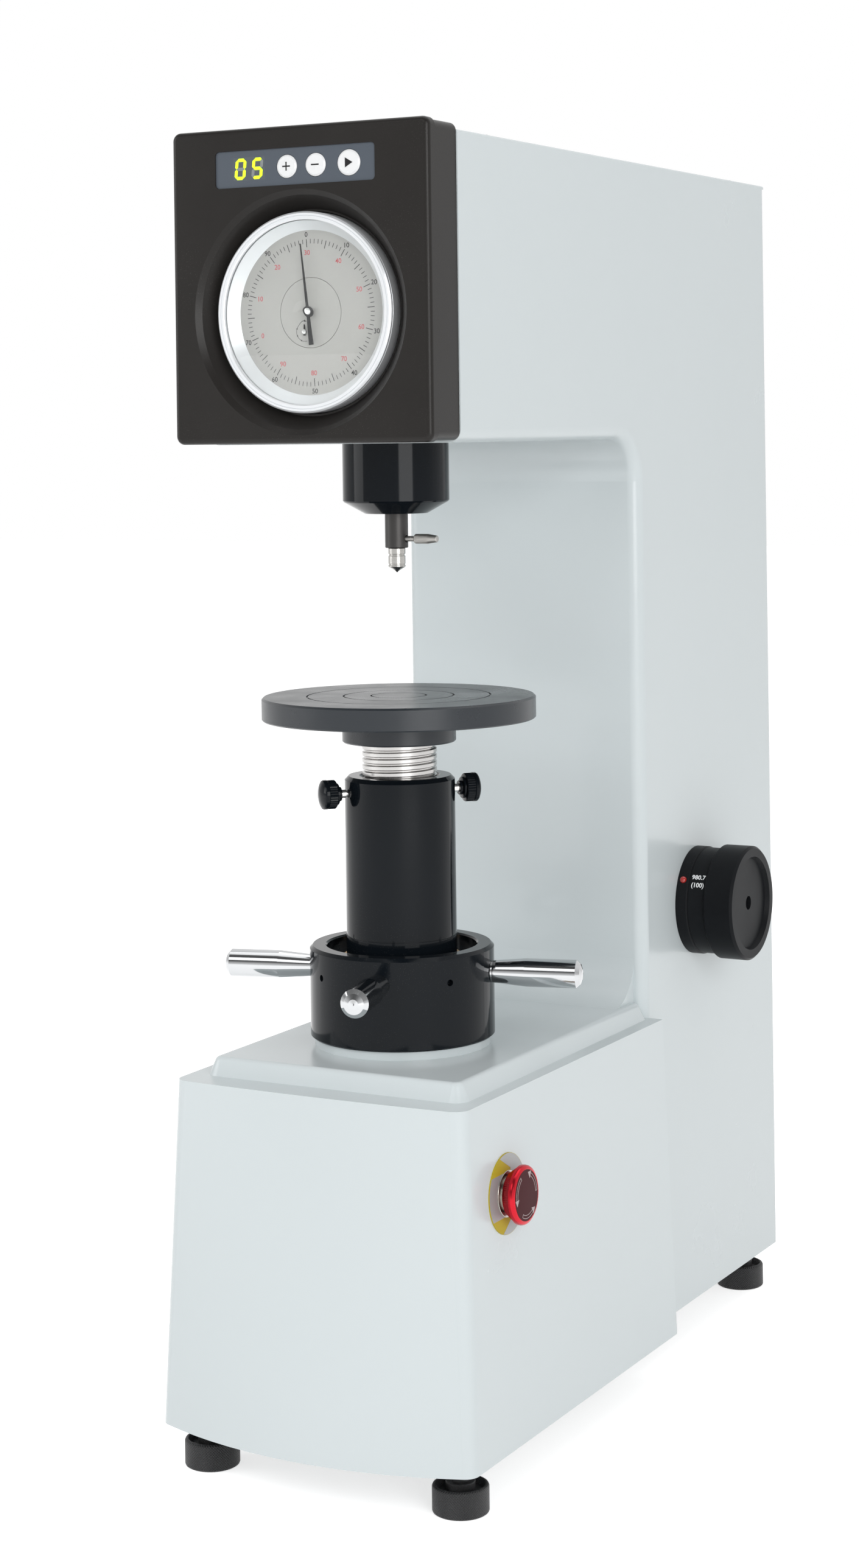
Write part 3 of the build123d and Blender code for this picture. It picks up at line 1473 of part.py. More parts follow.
def load_cam():
    shaft = rod_x(8, -38, 14, tail_y, MOTOR_HEIGHT)
    disc = rod_x(CAM_RADIUS, -7, 7, tail_y, MOTOR_HEIGHT + CAM_OFFSET)
    return shaft + disc


def lift_rod():
    low = MOTOR_HEIGHT + CAM_RADIUS + CAM_OFFSET + GAP
    top = WEIGHT_BASE - 8
    body = rod(LIFT_ROD_RADIUS, low, top, 0, tail_y)
    return body + rod(LIFT_ROD_RADIUS * 2, top - 6, top, 0, tail_y)


keep("gear_motor", gear_motor())
keep("load_cam", load_cam())
keep("lift_rod", lift_rod())


# ---------------------------------------------------------------- power inlet
inlet_face = Plane(origin=(0, BODY_REAR, INLET_HEIGHT), x_dir=(-1, 0, 0), z_dir=(0, 1, 0))


def power_inlet():
    """Appliance inlet with three pins beside a well for the rocker switch."""
    body = inlet_face * Pos(0, 0, -24) * extrude(Rectangle(INLET_WIDTH, INLET_DEPTH), 24)
    flange = inlet_face * extrude(
        RectangleRounded(INLET_WIDTH + 2 * INLET_FLANGE, INLET_DEPTH + 2 * INLET_FLANGE, 3), 2.5
    )
    socket = inlet_face * Pos(SOCKET_X, 0, 2.5 - SOCKET_DEPTH) * extrude(
        RectangleRounded(SOCKET_WIDTH, SOCKET_HEIGHT, 2), SOCKET_DEPTH + 1
    )
    well = inlet_face * Pos(ROCKER_X, 0, -12) * extrude(
        Rectangle(ROCKER_WIDTH + 1, ROCKER_HEIGHT + 1), 20
    )
    shape = body + flange - socket - well
    for dx, dz in ((-7, -2), (0, 2), (7, -2)):
        pin = inlet_face * Pos(SOCKET_X + dx, dz, 2.5 - SOCKET_DEPTH) * extrude(
            Rectangle(2, 4), PIN_LENGTH
        )
        shape = shape + pin
    pivot = Plane(
        origin=(-ROCKER_X, BODY_REAR - 4, INLET_HEIGHT), x_dir=(0, 1, 0), z_dir=(1, 0, 0)
    ) * Pos(0, 0, -ROCKER_WIDTH / 2 - 1) * extrude(Circle(1.5), ROCKER_WIDTH + 2)
    return shape + pivot


def power_rocker():
    half = ROCKER_HEIGHT / 2
    y = BODY_REAR
    profile = Plane.YZ * make_face(
        Polyline(
            (y - 7.5, INLET_HEIGHT - 5),
            (y + 3.2, INLET_HEIGHT - half + 0.6),
            (y + 2.4, INLET_HEIGHT),
            (y + 3.2, INLET_HEIGHT + half - 0.6),
            (y - 7.5, INLET_HEIGHT + 5),
            close=True,
        )
    )
    rocker = Pos(-ROCKER_X, 0, 0) * extrude(profile, ROCKER_WIDTH / 2, both=True)
    axle = Plane(
        origin=(-ROCKER_X, BODY_REAR - 4, INLET_HEIGHT), x_dir=(0, 1, 0), z_dir=(1, 0, 0)
    ) * Pos(0, 0, -ROCKER_WIDTH) * extrude(Circle(1.5 + RUN), ROCKER_WIDTH * 2)
    return rocker - axle


keep("power_inlet", power_inlet())
keep("power_rocker", power_rocker())


# ---------------------------------------------------------------- levelling feet
def levelling_foot(x, y):
    r = FOOT_PAD_RADIUS
    return turned(
        [
            (0, 0),
            (r - 1.5, 0),
            (r, 1.5),
            (r, FOOT_PAD_HEIGHT - 3),
            (r - 3, FOOT_PAD_HEIGHT - 0.5),
            (10.5, FOOT_PAD_HEIGHT),
            (10.5, FOOT_PAD_HEIGHT + 5),
            (9.5, FOOT_PAD_HEIGHT + 6),
            (FOOT_STUD_RADIUS, FOOT_PAD_HEIGHT + 6),
            (FOOT_STUD_RADIUS, BODY_BOTTOM + 24),
            (0, BODY_BOTTOM + 24),
        ],
        x,
        y,
    )


for foot, (foot_x, foot_y) in foot_places().items():
    keep(foot, levelling_foot(foot_x, foot_y))


# ---------------------------------------------------------------- shift to the origin, export
boxes = [piece.bounding_box() for piece in parts.values()]
centre_x = (min(b.min.X for b in boxes) + max(b.max.X for b in boxes)) / 2
centre_y = (min(b.min.Y for b in boxes) + max(b.max.Y for b in boxes)) / 2
lowest = min(b.min.Z for b in boxes)
shift = Pos(-centre_x, -centre_y, -lowest)
print("origin of the working frame is at", (-centre_x, -centre_y, -lowest))

os.makedirs("parts", exist_ok=True)
for name, piece in parts.items():
    export_step(shift * piece, f"parts/{name}.step")
print(len(parts), "pieces written")
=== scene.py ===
# %% [markdown]
# # Dressing a bench hardness tester
# A hardness tester presses a small point into metal and reads on a dial how far it went in.
# The machine's shapes come from a CAD model, which is loaded as a fixed frame.  This lesson
# gives that frame its finishes, and adds the small things that CAD leaves out: screw threads,
# knurling, dial graduations, lit digits and printed signs.  Each step says what the piece is
# on the real machine, how it could be made, and why one way was taken.

# %% Load the frame
import math

import bmesh
import bpy
from mathutils import Matrix, Vector


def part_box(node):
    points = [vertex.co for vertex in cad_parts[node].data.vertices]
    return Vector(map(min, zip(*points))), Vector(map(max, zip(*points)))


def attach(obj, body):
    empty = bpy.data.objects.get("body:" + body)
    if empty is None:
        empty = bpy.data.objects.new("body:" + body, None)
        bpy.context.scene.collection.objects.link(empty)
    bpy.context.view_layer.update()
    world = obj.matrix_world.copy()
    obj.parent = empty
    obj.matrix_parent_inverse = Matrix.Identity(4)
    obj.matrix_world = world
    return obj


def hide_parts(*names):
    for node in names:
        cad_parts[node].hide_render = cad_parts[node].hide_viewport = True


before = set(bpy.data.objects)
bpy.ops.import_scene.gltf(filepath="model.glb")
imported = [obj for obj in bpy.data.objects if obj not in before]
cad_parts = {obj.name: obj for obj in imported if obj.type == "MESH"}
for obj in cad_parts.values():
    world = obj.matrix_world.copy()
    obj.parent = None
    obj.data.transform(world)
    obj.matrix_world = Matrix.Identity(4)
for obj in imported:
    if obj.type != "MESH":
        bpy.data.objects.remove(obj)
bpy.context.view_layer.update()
MM = 0.001
FULL_TURN = 2 * math.pi

# %% [markdown]
# ## Where things are
# Nothing here is placed by eye.  A node's box gives its lowest and highest corner, so the
# middle of a round node's box is a point of its axis.  Every new piece starts from one.


# %% Places read from the frame
def middle(node):
    """Centre of a CAD node's box."""
    low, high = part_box(node)
    return (low + high) / 2


screw_axis = middle("work_table")
dial_centre = middle("dial_bezel")
selector_axis = middle("selector_flange")
dial_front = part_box("dial_bezel")[0].y
print("screw axis", tuple(round(v, 4) for v in screw_axis.xy), "dial", tuple(dial_centre))

# %% [markdown]
# ## The camera
# A picture's viewpoint is a place, a direction and a focal length.  The numbers below come
# from matching the machine's straight edges.  The lens is shifted instead of tilted, which is
# how an upright machine keeps its upright lines parallel.

# %% Camera
AZIMUTH, DIP, ROLL = math.radians(28.417), math.radians(-0.1), math.radians(-0.749)
STANDPOINT = (0.83575, -1.64962, 0.61813)
ahead = Vector((-math.sin(AZIMUTH), math.cos(AZIMUTH), 0)) * math.cos(DIP)
ahead.z = -math.sin(DIP)
level = Vector((math.cos(AZIMUTH), math.sin(AZIMUTH), 0))
above = level.cross(ahead)
right = math.cos(ROLL) * level + math.sin(ROLL) * above
up = -math.sin(ROLL) * level + math.cos(ROLL) * above
lens = bpy.data.cameras.new("camera")
lens.sensor_fit = "AUTO"
lens.sensor_width = 36.0
lens.lens = 64.8
lens.shift_y = -0.2285
link = bpy.context.scene.collection.objects.link
camera = bpy.data.objects.new("camera", lens)
camera.matrix_world = Matrix((
    (right.x, up.x, -ahead.x, STANDPOINT[0]),
    (right.y, up.y, -ahead.y, STANDPOINT[1]),
    (right.z, up.z, -ahead.z, STANDPOINT[2]),
    (0, 0, 0, 1),
))
link(camera)
bpy.context.scene.camera = camera
bpy.context.scene.view_settings.view_transform = "Standard"
print("camera at", tuple(round(v, 3) for v in camera.location))

# %% [markdown]
# ## Node helpers
# A material is a small graph.  A few short helpers keep the graphs readable: they set a node's
# inputs, add a node, join two sockets, start a material or a node group, and end a group in a
# bump.


# %% Helpers for node graphs
def put(node, values):
    """Set constant inputs of a node."""
    for socket, value in values.items():
        node.inputs[socket].default_value = value


def add(tree, kind, values=None, **settings):
    """Add one node, with its settings and its constant inputs."""
    node = tree.nodes.new(kind)
    for key, value in settings.items():
        setattr(node, key, value)
    put(node, values or {})
    return node


def join(tree, source, target):
    """Join an output to an input, each given as (node, socket)."""
    tree.links.new(source[0].outputs[source[1]], target[0].inputs[target[1]])


def new_material(name):
    """Start a material; gives it, its tree and its shader."""
    material = bpy.data.materials.new(name)
    material.use_nodes = True
    return material, material.node_tree, material.node_tree.nodes["Principled BSDF"]


def new_group(name, inputs, outputs):
    """Start a node group; inputs are (name, socket type, default)."""
    group = bpy.data.node_groups.new(name, "ShaderNodeTree")
    for label, kind, default in inputs:
        socket = group.interface.new_socket(name=label, in_out="INPUT", socket_type=kind)
        if default is not None:
            socket.default_value = default
    for label, kind in outputs:
        group.interface.new_socket(name=label, in_out="OUTPUT", socket_type=kind)
    return group, group.nodes.new("NodeGroupInput"), group.nodes.new("NodeGroupOutput")


def bump_group(name, scale, depth):
    """Start a group that takes coordinates, a scale and a depth, and gives a bumped normal."""
    inputs = [("Vector", VECTOR, None), ("Scale", FLOAT, scale), ("Depth", FLOAT, depth)]
    return new_group(name, inputs, [("Normal", VECTOR)])


def end_in_bump(group, start, end, height, distance):
    """Turn a height, given as (node, socket), into the group's normal."""
    bump = add(group, "ShaderNodeBump", {"Distance": distance})
    join(group, height, (bump, "Height"))
    join(group, (start, "Depth"), (bump, "Strength"))
    join(group, (bump, "Normal"), (end, "Normal"))


FLOAT, VECTOR = "NodeSocketFloat", "NodeSocketVector"
print("node helpers ready")

# %% [markdown]
# ## Shared effects
# Paint, plastic and metal share a few flaws: a finish is never equally shiny all over, sprayed
# paint has a fine ripple, turned metal keeps the rings of the tool, dust settles on it and
# handling leaves hairlines.  Each flaw is built once as a node group and placed in every
# material that shows it, with that material's own numbers.


# %% Uneven gloss
def build_uneven_gloss():
    """Cloudy change of roughness between two values."""
    group, start, end = new_group(
        "uneven gloss",
        [("Vector", VECTOR, None), ("Scale", FLOAT, 20.0),
         ("Least", FLOAT, 0.2), ("Most", FLOAT, 0.4)],
        [("Roughness", FLOAT), ("Cloud", FLOAT)],
    )
    cloud = add(group, "ShaderNodeTexNoise", {"Detail": 5.0, "Roughness": 0.6})
    spread = add(group, "ShaderNodeMapRange", {"From Min": 0.3, "From Max": 0.7})
    join(group, (start, "Vector"), (cloud, "Vector"))
    join(group, (start, "Scale"), (cloud, "Scale"))
    join(group, (cloud, "Fac"), (spread, "Value"))
    join(group, (start, "Least"), (spread, "To Min"))
    join(group, (start, "Most"), (spread, "To Max"))
    join(group, (spread, "Result"), (end, "Roughness"))
    join(group, (cloud, "Fac"), (end, "Cloud"))
    return group


uneven_gloss = build_uneven_gloss()
print("group:", uneven_gloss.name)


# %% Fine ripple
def build_ripple():
    """Bump of one fine noise: the orange peel of a paint or the grain of a moulding."""
    group, start, end = bump_group("ripple", 300.0, 0.1)
    fine = add(group, "ShaderNodeTexNoise", {"Detail": 2.0, "Roughness": 0.5})
    join(group, (start, "Vector"), (fine, "Vector"))
    join(group, (start, "Scale"), (fine, "Scale"))
    end_in_bump(group, start, end, (fine, "Fac"), distance=0.0004)
    return group


ripple = build_ripple()
print("group:", ripple.name)


# %% Turning marks
def build_turning_marks():
    """Rings left by a lathe tool: noise that only changes with the radius and along the axis."""
    group, start, end = bump_group("turning marks", 2500.0, 0.15)
    parts = add(group, "ShaderNodeSeparateXYZ")
    square_x = add(group, "ShaderNodeMath", operation="MULTIPLY")
    square_y = add(group, "ShaderNodeMath", operation="MULTIPLY_ADD")
    radius = add(group, "ShaderNodeMath", operation="SQRT")
    flat = add(group, "ShaderNodeCombineXYZ")
    rings = add(group, "ShaderNodeTexNoise", {"Detail": 3.0, "Roughness": 0.7})
    join(group, (start, "Vector"), (parts, 0))
    for side in (0, 1):
        join(group, (parts, "X"), (square_x, side))
        join(group, (parts, "Y"), (square_y, side))
    join(group, (square_x, 0), (square_y, 2))
    join(group, (square_y, 0), (radius, 0))
    join(group, (radius, 0), (flat, "X"))
    join(group, (parts, "Z"), (flat, "Z"))
    join(group, (flat, 0), (rings, "Vector"))
    join(group, (start, "Scale"), (rings, "Scale"))
    end_in_bump(group, start, end, (rings, "Fac"), distance=0.0002)
    return group


turning_marks = build_turning_marks()
print("group:", turning_marks.name)

# %% Diamond knurl
RIDGES_ALONG = 3800.0  # radians of the ridges' wave for a metre along the axis


def build_knurl():
    """Bump of two crossed sets of helical ridges; the scale is how many stand round Z."""
    group, start, end = bump_group("knurl", 60.0, 0.5)
    parts = add(group, "ShaderNodeSeparateXYZ")
    angle = add(group, "ShaderNodeMath", operation="ARCTAN2")
    around = add(group, "ShaderNodeMath", operation="MULTIPLY")
    along = add(group, "ShaderNodeMath", {1: RIDGES_ALONG}, operation="MULTIPLY")
    higher = add(group, "ShaderNodeMath", operation="MAXIMUM")
    join(group, (start, "Vector"), (parts, 0))
    join(group, (parts, "Y"), (angle, 0))
    join(group, (parts, "X"), (angle, 1))
    join(group, (angle, 0), (around, 0))
    join(group, (start, "Scale"), (around, 1))
    join(group, (parts, "Z"), (along, 0))
    for side, way in enumerate(("ADD", "SUBTRACT")):
        helix = add(group, "ShaderNodeMath", operation=way)
        ridge = add(group, "ShaderNodeMath", operation="SINE")
        join(group, (around, 0), (helix, 0))
        join(group, (along, 0), (helix, 1))
        join(group, (helix, 0), (ridge, 0))
        join(group, (ridge, 0), (higher, side))
    end_in_bump(group, start, end, (higher, 0), distance=0.0004)
    return group


knurl = build_knurl()
print("group:", knurl.name)


# %% Dust and hairlines
def build_dust():
    """Sparse pale specks, 0 to 1."""
    group, start, end = new_group(
        "dust",
        [("Vector", VECTOR, None), ("Scale", FLOAT, 900.0), ("Amount", FLOAT, 0.2)],
        [("Mask", FLOAT)],
    )
    specks = add(group, "ShaderNodeTexVoronoi", {"Randomness": 1.0})
    speck = add(group, "ShaderNodeMapRange", {"From Min": 0.16, "From Max": 0.06})
    patches = add(group, "ShaderNodeTexNoise", {"Scale": 14.0, "Detail": 4.0})
    patch = add(group, "ShaderNodeMapRange", {"From Min": 0.42, "From Max": 0.62})
    both = add(group, "ShaderNodeMath", operation="MULTIPLY")
    shown = add(group, "ShaderNodeMath", operation="MULTIPLY", use_clamp=True)
    join(group, (start, "Vector"), (specks, "Vector"))
    join(group, (start, "Scale"), (specks, "Scale"))
    join(group, (start, "Vector"), (patches, "Vector"))
    join(group, (specks, "Distance"), (speck, "Value"))
    join(group, (patches, "Fac"), (patch, "Value"))
    join(group, (speck, "Result"), (both, 0))
    join(group, (patch, "Result"), (both, 1))
    join(group, (both, 0), (shown, 0))
    join(group, (start, "Amount"), (shown, 1))
    join(group, (shown, 0), (end, "Mask"))
    return group


def build_hairlines():
    """Thin random scratches, 0 to 1, long in one direction."""
    group, start, end = new_group(
        "hairlines",
        [("Vector", VECTOR, None), ("Scale", FLOAT, 60.0), ("Amount", FLOAT, 0.3)],
        [("Mask", FLOAT)],
    )
    askew = {"Rotation": (0.4, 0.7, 0.3), "Scale": (1.0, 30.0, 30.0)}
    stretch = add(group, "ShaderNodeMapping", askew)
    lines = add(group, "ShaderNodeTexNoise", {"Detail": 2.0, "Distortion": 0.4})
    thin = add(group, "ShaderNodeMapRange", {"From Min": 0.66, "From Max": 0.74})
    shown = add(group, "ShaderNodeMath", operation="MULTIPLY", use_clamp=True)
    join(group, (start, "Vector"), (stretch, "Vector"))
    join(group, (stretch, "Vector"), (lines, "Vector"))
    join(group, (start, "Scale"), (lines, "Scale"))
    join(group, (lines, "Fac"), (thin, "Value"))
    join(group, (thin, "Result"), (shown, 0))
    join(group, (start, "Amount"), (shown, 1))
    join(group, (shown, 0), (end, "Mask"))
    return group


dust = build_dust()
hairlines = build_hairlines()
print("groups:", dust.name, hairlines.name)

# %% [markdown]
# ## One recipe for every opaque finish
# Enamel, oxide, plastic and metal differ in their numbers more than in their build.  The
# recipe takes a base colour and its cloudy second colour, the range of roughness, which kind
# of bump the surface has, and how much dust lies on it.  Constant numbers go straight onto the
# shader's own sockets, so other programs can read them.


# %% The recipe
def centred(tree, centre, turn):
    """Object coordinates moved to a piece's centre and turned onto its axis."""
    place = add(tree, "ShaderNodeTexCoord")
    onto_axis = {"Location": centre, "Rotation": turn}
    moved = add(tree, "ShaderNodeMapping", onto_axis, vector_type="TEXTURE")
    join(tree, (place, "Object"), (moved, "Vector"))
    return moved


def effect(tree, group, place, values):
    """Put a shared effect into a material, at the piece's coordinates."""
    node = add(tree, "ShaderNodeGroup", values, node_tree=group)
    join(tree, (place, "Vector"), (node, "Vector"))
    return node


COAT_ROUGHNESS = 0.04
DUST_COLOUR = (0.55, 0.53, 0.5, 1)
MIX_A, MIX_B, MIX_COLOUR = 6, 7, 2  # a Mix node's colour sockets; their names are shared


def finish_of(
    name, colour, second, roughness, metallic=0.0, bump=None, cloud_scale=18.0,
    dust_amount=0.0, scratch=0.0, coat=0.0, specular=0.5, centre=(0, 0, 0), turn=(0, 0, 0),
):
    """Opaque material with cloudy colour and gloss; its bump is (group, scale, depth)."""
    material, tree, shader = new_material(name)
    put(shader, {"Metallic": metallic, "Specular IOR Level": specular, "Coat Weight": coat,
                 "Coat Roughness": COAT_ROUGHNESS})
    place = centred(tree, centre, turn)
    least, most = roughness
    gloss = effect(tree, uneven_gloss, place, {"Scale": cloud_scale, "Least": least, "Most": most})
    colours = {MIX_A: (*colour, 1), MIX_B: (*second, 1)}
    tint = add(tree, "ShaderNodeMix", colours, data_type="RGBA")
    join(tree, (gloss, "Cloud"), (tint, 0))
    shade = (tint, MIX_COLOUR)
    rough = (gloss, "Roughness")
    if scratch:
        lines = effect(tree, hairlines, place, {"Amount": scratch})
        rougher = add(tree, "ShaderNodeMath", operation="ADD", use_clamp=True)
        join(tree, rough, (rougher, 0))
        join(tree, (lines, "Mask"), (rougher, 1))
        rough = (rougher, 0)
    if dust_amount:
        specks = effect(tree, dust, place, {"Amount": dust_amount})
        dusty = add(tree, "ShaderNodeMix", {MIX_B: DUST_COLOUR}, data_type="RGBA")
        join(tree, (specks, "Mask"), (dusty, 0))
        join(tree, shade, (dusty, MIX_A))
        shade = (dusty, MIX_COLOUR)
    if bump:
        group, scale, depth = bump
        relief = effect(tree, group, place, {"Scale": scale, "Depth": depth})
        join(tree, (relief, "Normal"), (shader, "Normal"))
    join(tree, shade, (shader, "Base Color"))
    join(tree, rough, (shader, "Roughness"))
    return material


# %% [markdown]
# ## The finishes
# The cast body is sprayed with a pale grey-white enamel with a faint green cast.  The head
# cover is satin black moulding.  The wheel's hub, the sleeve and the spindle housing are
# polished black enamel, which is told from plastic by a deep, sharp reflection.  The table and
# the selector are blackened and matt.  The spokes are chrome, and the screw is ground steel.

# %% Finishes of the large pieces
body_enamel = finish_of(
    "body enamel", (0.6, 0.655, 0.668), (0.625, 0.675, 0.688), (0.22, 0.28), specular=0.4,
    bump=(ripple, 900.0, 0.012), coat=0.12, cloud_scale=6.0,
)
cover_black = finish_of(
    "cover black", (0.015, 0.0135, 0.0125), (0.02, 0.018, 0.0165), (0.28, 0.36),
    bump=(ripple, 1800.0, 0.1), dust_amount=0.1, cloud_scale=12.0, specular=0.2,
)
gloss_black = finish_of(
    "polished black enamel", (0.004, 0.006, 0.008), (0.006, 0.008, 0.011), (0.06, 0.12),
    dust_amount=0.08, cloud_scale=25.0, scratch=0.05, specular=0.14,
)
table_black = finish_of(
    "table black oxide", (0.018, 0.022, 0.027), (0.025, 0.03, 0.036), (0.24, 0.34),
    bump=(turning_marks, 1500.0, 0.12), centre=tuple(screw_axis), scratch=0.1,
    cloud_scale=30.0, specular=0.42,
)
knob_black = finish_of(
    "knob black", (0.008, 0.009, 0.011), (0.012, 0.013, 0.014), (0.34, 0.44),
    bump=(ripple, 2600.0, 0.08), dust_amount=0.06, specular=0.07,
)
chrome = finish_of(
    "spoke chrome", (0.6, 0.61, 0.62), (0.54, 0.55, 0.56), (0.05, 0.1),
    metallic=1.0, scratch=0.08,
)
bright_steel = finish_of(
    "ground steel", (0.52, 0.51, 0.49), (0.42, 0.41, 0.39), (0.14, 0.24), metallic=1.0,
    bump=(turning_marks, 4000.0, 0.12), centre=tuple(screw_axis),
)
dark_steel = finish_of(
    "dark steel", (0.07, 0.068, 0.066), (0.045, 0.043, 0.042), (0.3, 0.45), metallic=0.8,
    bump=(turning_marks, 4000.0, 0.12), centre=tuple(screw_axis),
)
print("finishes so far:", len(bpy.data.materials))

# %% Finishes of the small pieces
bezel_silver = finish_of(
    "bezel silver", (0.84, 0.86, 0.88), (0.78, 0.8, 0.82), (0.28, 0.38), metallic=0.45,
    bump=(turning_marks, 2600.0, 0.08), centre=tuple(dial_centre),
    turn=(math.pi / 2, 0, 0),
)
panel_slate = finish_of(
    "panel slate", (0.075, 0.09, 0.112), (0.085, 0.1, 0.12), (0.42, 0.52),
    bump=(ripple, 3000.0, 0.08), specular=0.25,
)
button_white = finish_of(
    "button white", (0.8, 0.81, 0.81), (0.76, 0.77, 0.78), (0.22, 0.32), coat=0.2,
)
led_dark = finish_of("window smoke", (0.085, 0.1, 0.115), (0.095, 0.11, 0.125), (0.14, 0.2))
face_grey = finish_of("dial print grey", (0.365, 0.36, 0.345), (0.39, 0.385, 0.37), (0.42, 0.5))
hand_black = finish_of(
    "hand black", (0.008, 0.008, 0.009), (0.012, 0.012, 0.013), (0.3, 0.4), specular=0.25,
)
red_anodised = finish_of(
    "red anodised", (0.6, 0.018, 0.032), (0.52, 0.013, 0.026), (0.2, 0.28), metallic=0.85,
)
sign_yellow = finish_of(
    "plate yellow", (0.5, 0.39, 0.035), (0.44, 0.34, 0.03), (0.4, 0.5), specular=0.06,
)
collar_metal = finish_of(
    "collar metal", (0.5, 0.48, 0.44), (0.42, 0.4, 0.36), (0.2, 0.28), metallic=1.0,
)
plate_metal = finish_of(
    "bare plate", (0.42, 0.43, 0.43), (0.36, 0.37, 0.37), (0.4, 0.5),
    metallic=0.3, specular=0.1,
)
foot_black = finish_of(
    "foot black", (0.022, 0.022, 0.024), (0.032, 0.032, 0.033), (0.38, 0.52), metallic=0.3,
    bump=(ripple, 900.0, 0.15), dust_amount=0.15,
)
inlet_black = finish_of(
    "inlet black", (0.02, 0.02, 0.02), (0.026, 0.026, 0.026), (0.4, 0.5),
    bump=(ripple, 2500.0, 0.1),
)
cast_grey = finish_of(
    "cast grey", (0.2, 0.21, 0.22), (0.26, 0.26, 0.27), (0.5, 0.65), metallic=0.6,
    bump=(ripple, 700.0, 0.2),
)
bronze = finish_of("bronze", (0.55, 0.36, 0.16), (0.46, 0.3, 0.14), (0.25, 0.4), metallic=1.0)
board_green = finish_of("board green", (0.02, 0.17, 0.07), (0.02, 0.14, 0.06), (0.3, 0.4))
motor_grey = finish_of(
    "motor grey", (0.3, 0.32, 0.33), (0.34, 0.35, 0.36), (0.35, 0.5),
    bump=(ripple, 900.0, 0.1),
)
print("finishes:", len(bpy.data.materials))

# %% Finishes of the details
thread_steel = finish_of(
    "thread steel", (0.62, 0.61, 0.6), (0.5, 0.49, 0.48), (0.14, 0.24),
    metallic=1.0, scratch=0.05,
)
plain_steel = finish_of(
    "polished steel", (0.86, 0.86, 0.85), (0.78, 0.78, 0.77), (0.18, 0.26), metallic=0.9,
)
ink_black = finish_of(
    "ink black", (0.012, 0.012, 0.013), (0.018, 0.018, 0.019), (0.45, 0.55), specular=0.2,
)
ink_red = finish_of("ink red", (0.46, 0.06, 0.075), (0.5, 0.08, 0.09), (0.45, 0.55))
ink_white = finish_of("ink white", (0.82, 0.83, 0.84), (0.76, 0.77, 0.78), (0.4, 0.5))
arrow_pale = finish_of(
    "arrow ink", (0.44, 0.36, 0.36), (0.38, 0.3, 0.3), (0.35, 0.45), specular=0.3,
)
bead_red = finish_of(
    "bead red", (0.42, 0.02, 0.015), (0.36, 0.015, 0.012), (0.08, 0.14), coat=0.5,
)
stop_face = finish_of(
    "stop face", (0.062, 0.009, 0.012), (0.05, 0.007, 0.01), (0.3, 0.4), specular=0.05,
)
clamp_steel = finish_of(
    "clamp screw steel", (0.5, 0.49, 0.47), (0.38, 0.37, 0.35), (0.24, 0.36), metallic=0.9,
    bump=(ripple, 3200.0, 0.5),
)
led_off = finish_of("dark segment", (0.2, 0.22, 0.22), (0.23, 0.25, 0.25), (0.3, 0.4))
led_lit = finish_of("lit segment", (0.55, 0.75, 0.02), (0.6, 0.8, 0.04), (0.3, 0.4))
glow = led_lit.node_tree.nodes["Principled BSDF"]
put(glow, {"Emission Color": (0.62, 1.0, 0.0, 1), "Emission Strength": 0.75})
FEET = ("foot_front_left", "foot_front_right", "foot_rear_left", "foot_rear_right")
foot_knurl = {
    name: finish_of(
        name + " knurl", (0.022, 0.022, 0.024), (0.034, 0.034, 0.035), (0.36, 0.5), metallic=0.3,
        bump=(knurl, 64.0, 0.7), dust_amount=0.12, centre=tuple(middle(name)),
    )
    for name in FEET
}
print("all finishes:", len(bpy.data.materials))

# %% [markdown]
# ## Glass
# The watch glass bends light, but a ray tracer would then call the dial behind it shadowed.
# The usual cure is used: to shadow rays the glass is plainly see-through.

# %% Watch glass
glass, tree, clear = new_material("watch glass")
put(clear, {"Base Color": (0.97, 0.985, 0.98, 1), "Transmission Weight": 1.0, "Roughness": 0.0,
            "IOR": 1.45})
ray = add(tree, "ShaderNodeLightPath")
through = add(tree, "ShaderNodeBsdfTransparent")
either = add(tree, "ShaderNodeMixShader")
join(tree, (ray, "Is Shadow Ray"), (either, 0))
join(tree, (clear, 0), (either, 1))
join(tree, (through, 0), (either, 2))
join(tree, (either, 0), (tree.nodes["Material Output"], "Surface"))
print("glass:", glass.name)

# %% [markdown]
# ## Making shapes
# Most of the small pieces are round, so the main tool is a lathe: a row of points is spun once
# round an axis.  A knurl or a fluted grip starts the same way, and then every second column of
# points is pushed in.  Everything is drawn in millimetres round the origin and is placed on
# the machine as its last step.

# %% Helpers for shapes
WELD = 1e-6  # points closer than this, in metres, are one point
FIGURE_SHARE = 0.735  # a figure's height as a share of its font's size


def turned(degrees, axis="Z"):
    """Matrix of a turn about an axis."""
    return Matrix.Rotation(math.radians(degrees), 4, axis)


def lathe(points, steps=64, closed=False):
    """Spin a row of (radius, height) points, in millimetres, once round Z."""
    bm = bmesh.new()
    row = [bm.verts.new((radius * MM, 0, height * MM)) for radius, height in points]
    pairs = list(zip(row, row[1:])) + ([(row[-1], row[0])] if closed else [])
    edges = [bm.edges.new(pair) for pair in pairs]
    bmesh.ops.spin(
        bm, geom=row + edges, cent=(0, 0, 0), axis=(0, 0, 1), angle=FULL_TURN, steps=steps,
        use_merge=True,
    )
    bmesh.ops.remove_doubles(bm, verts=bm.verts, dist=WELD)
    return bm


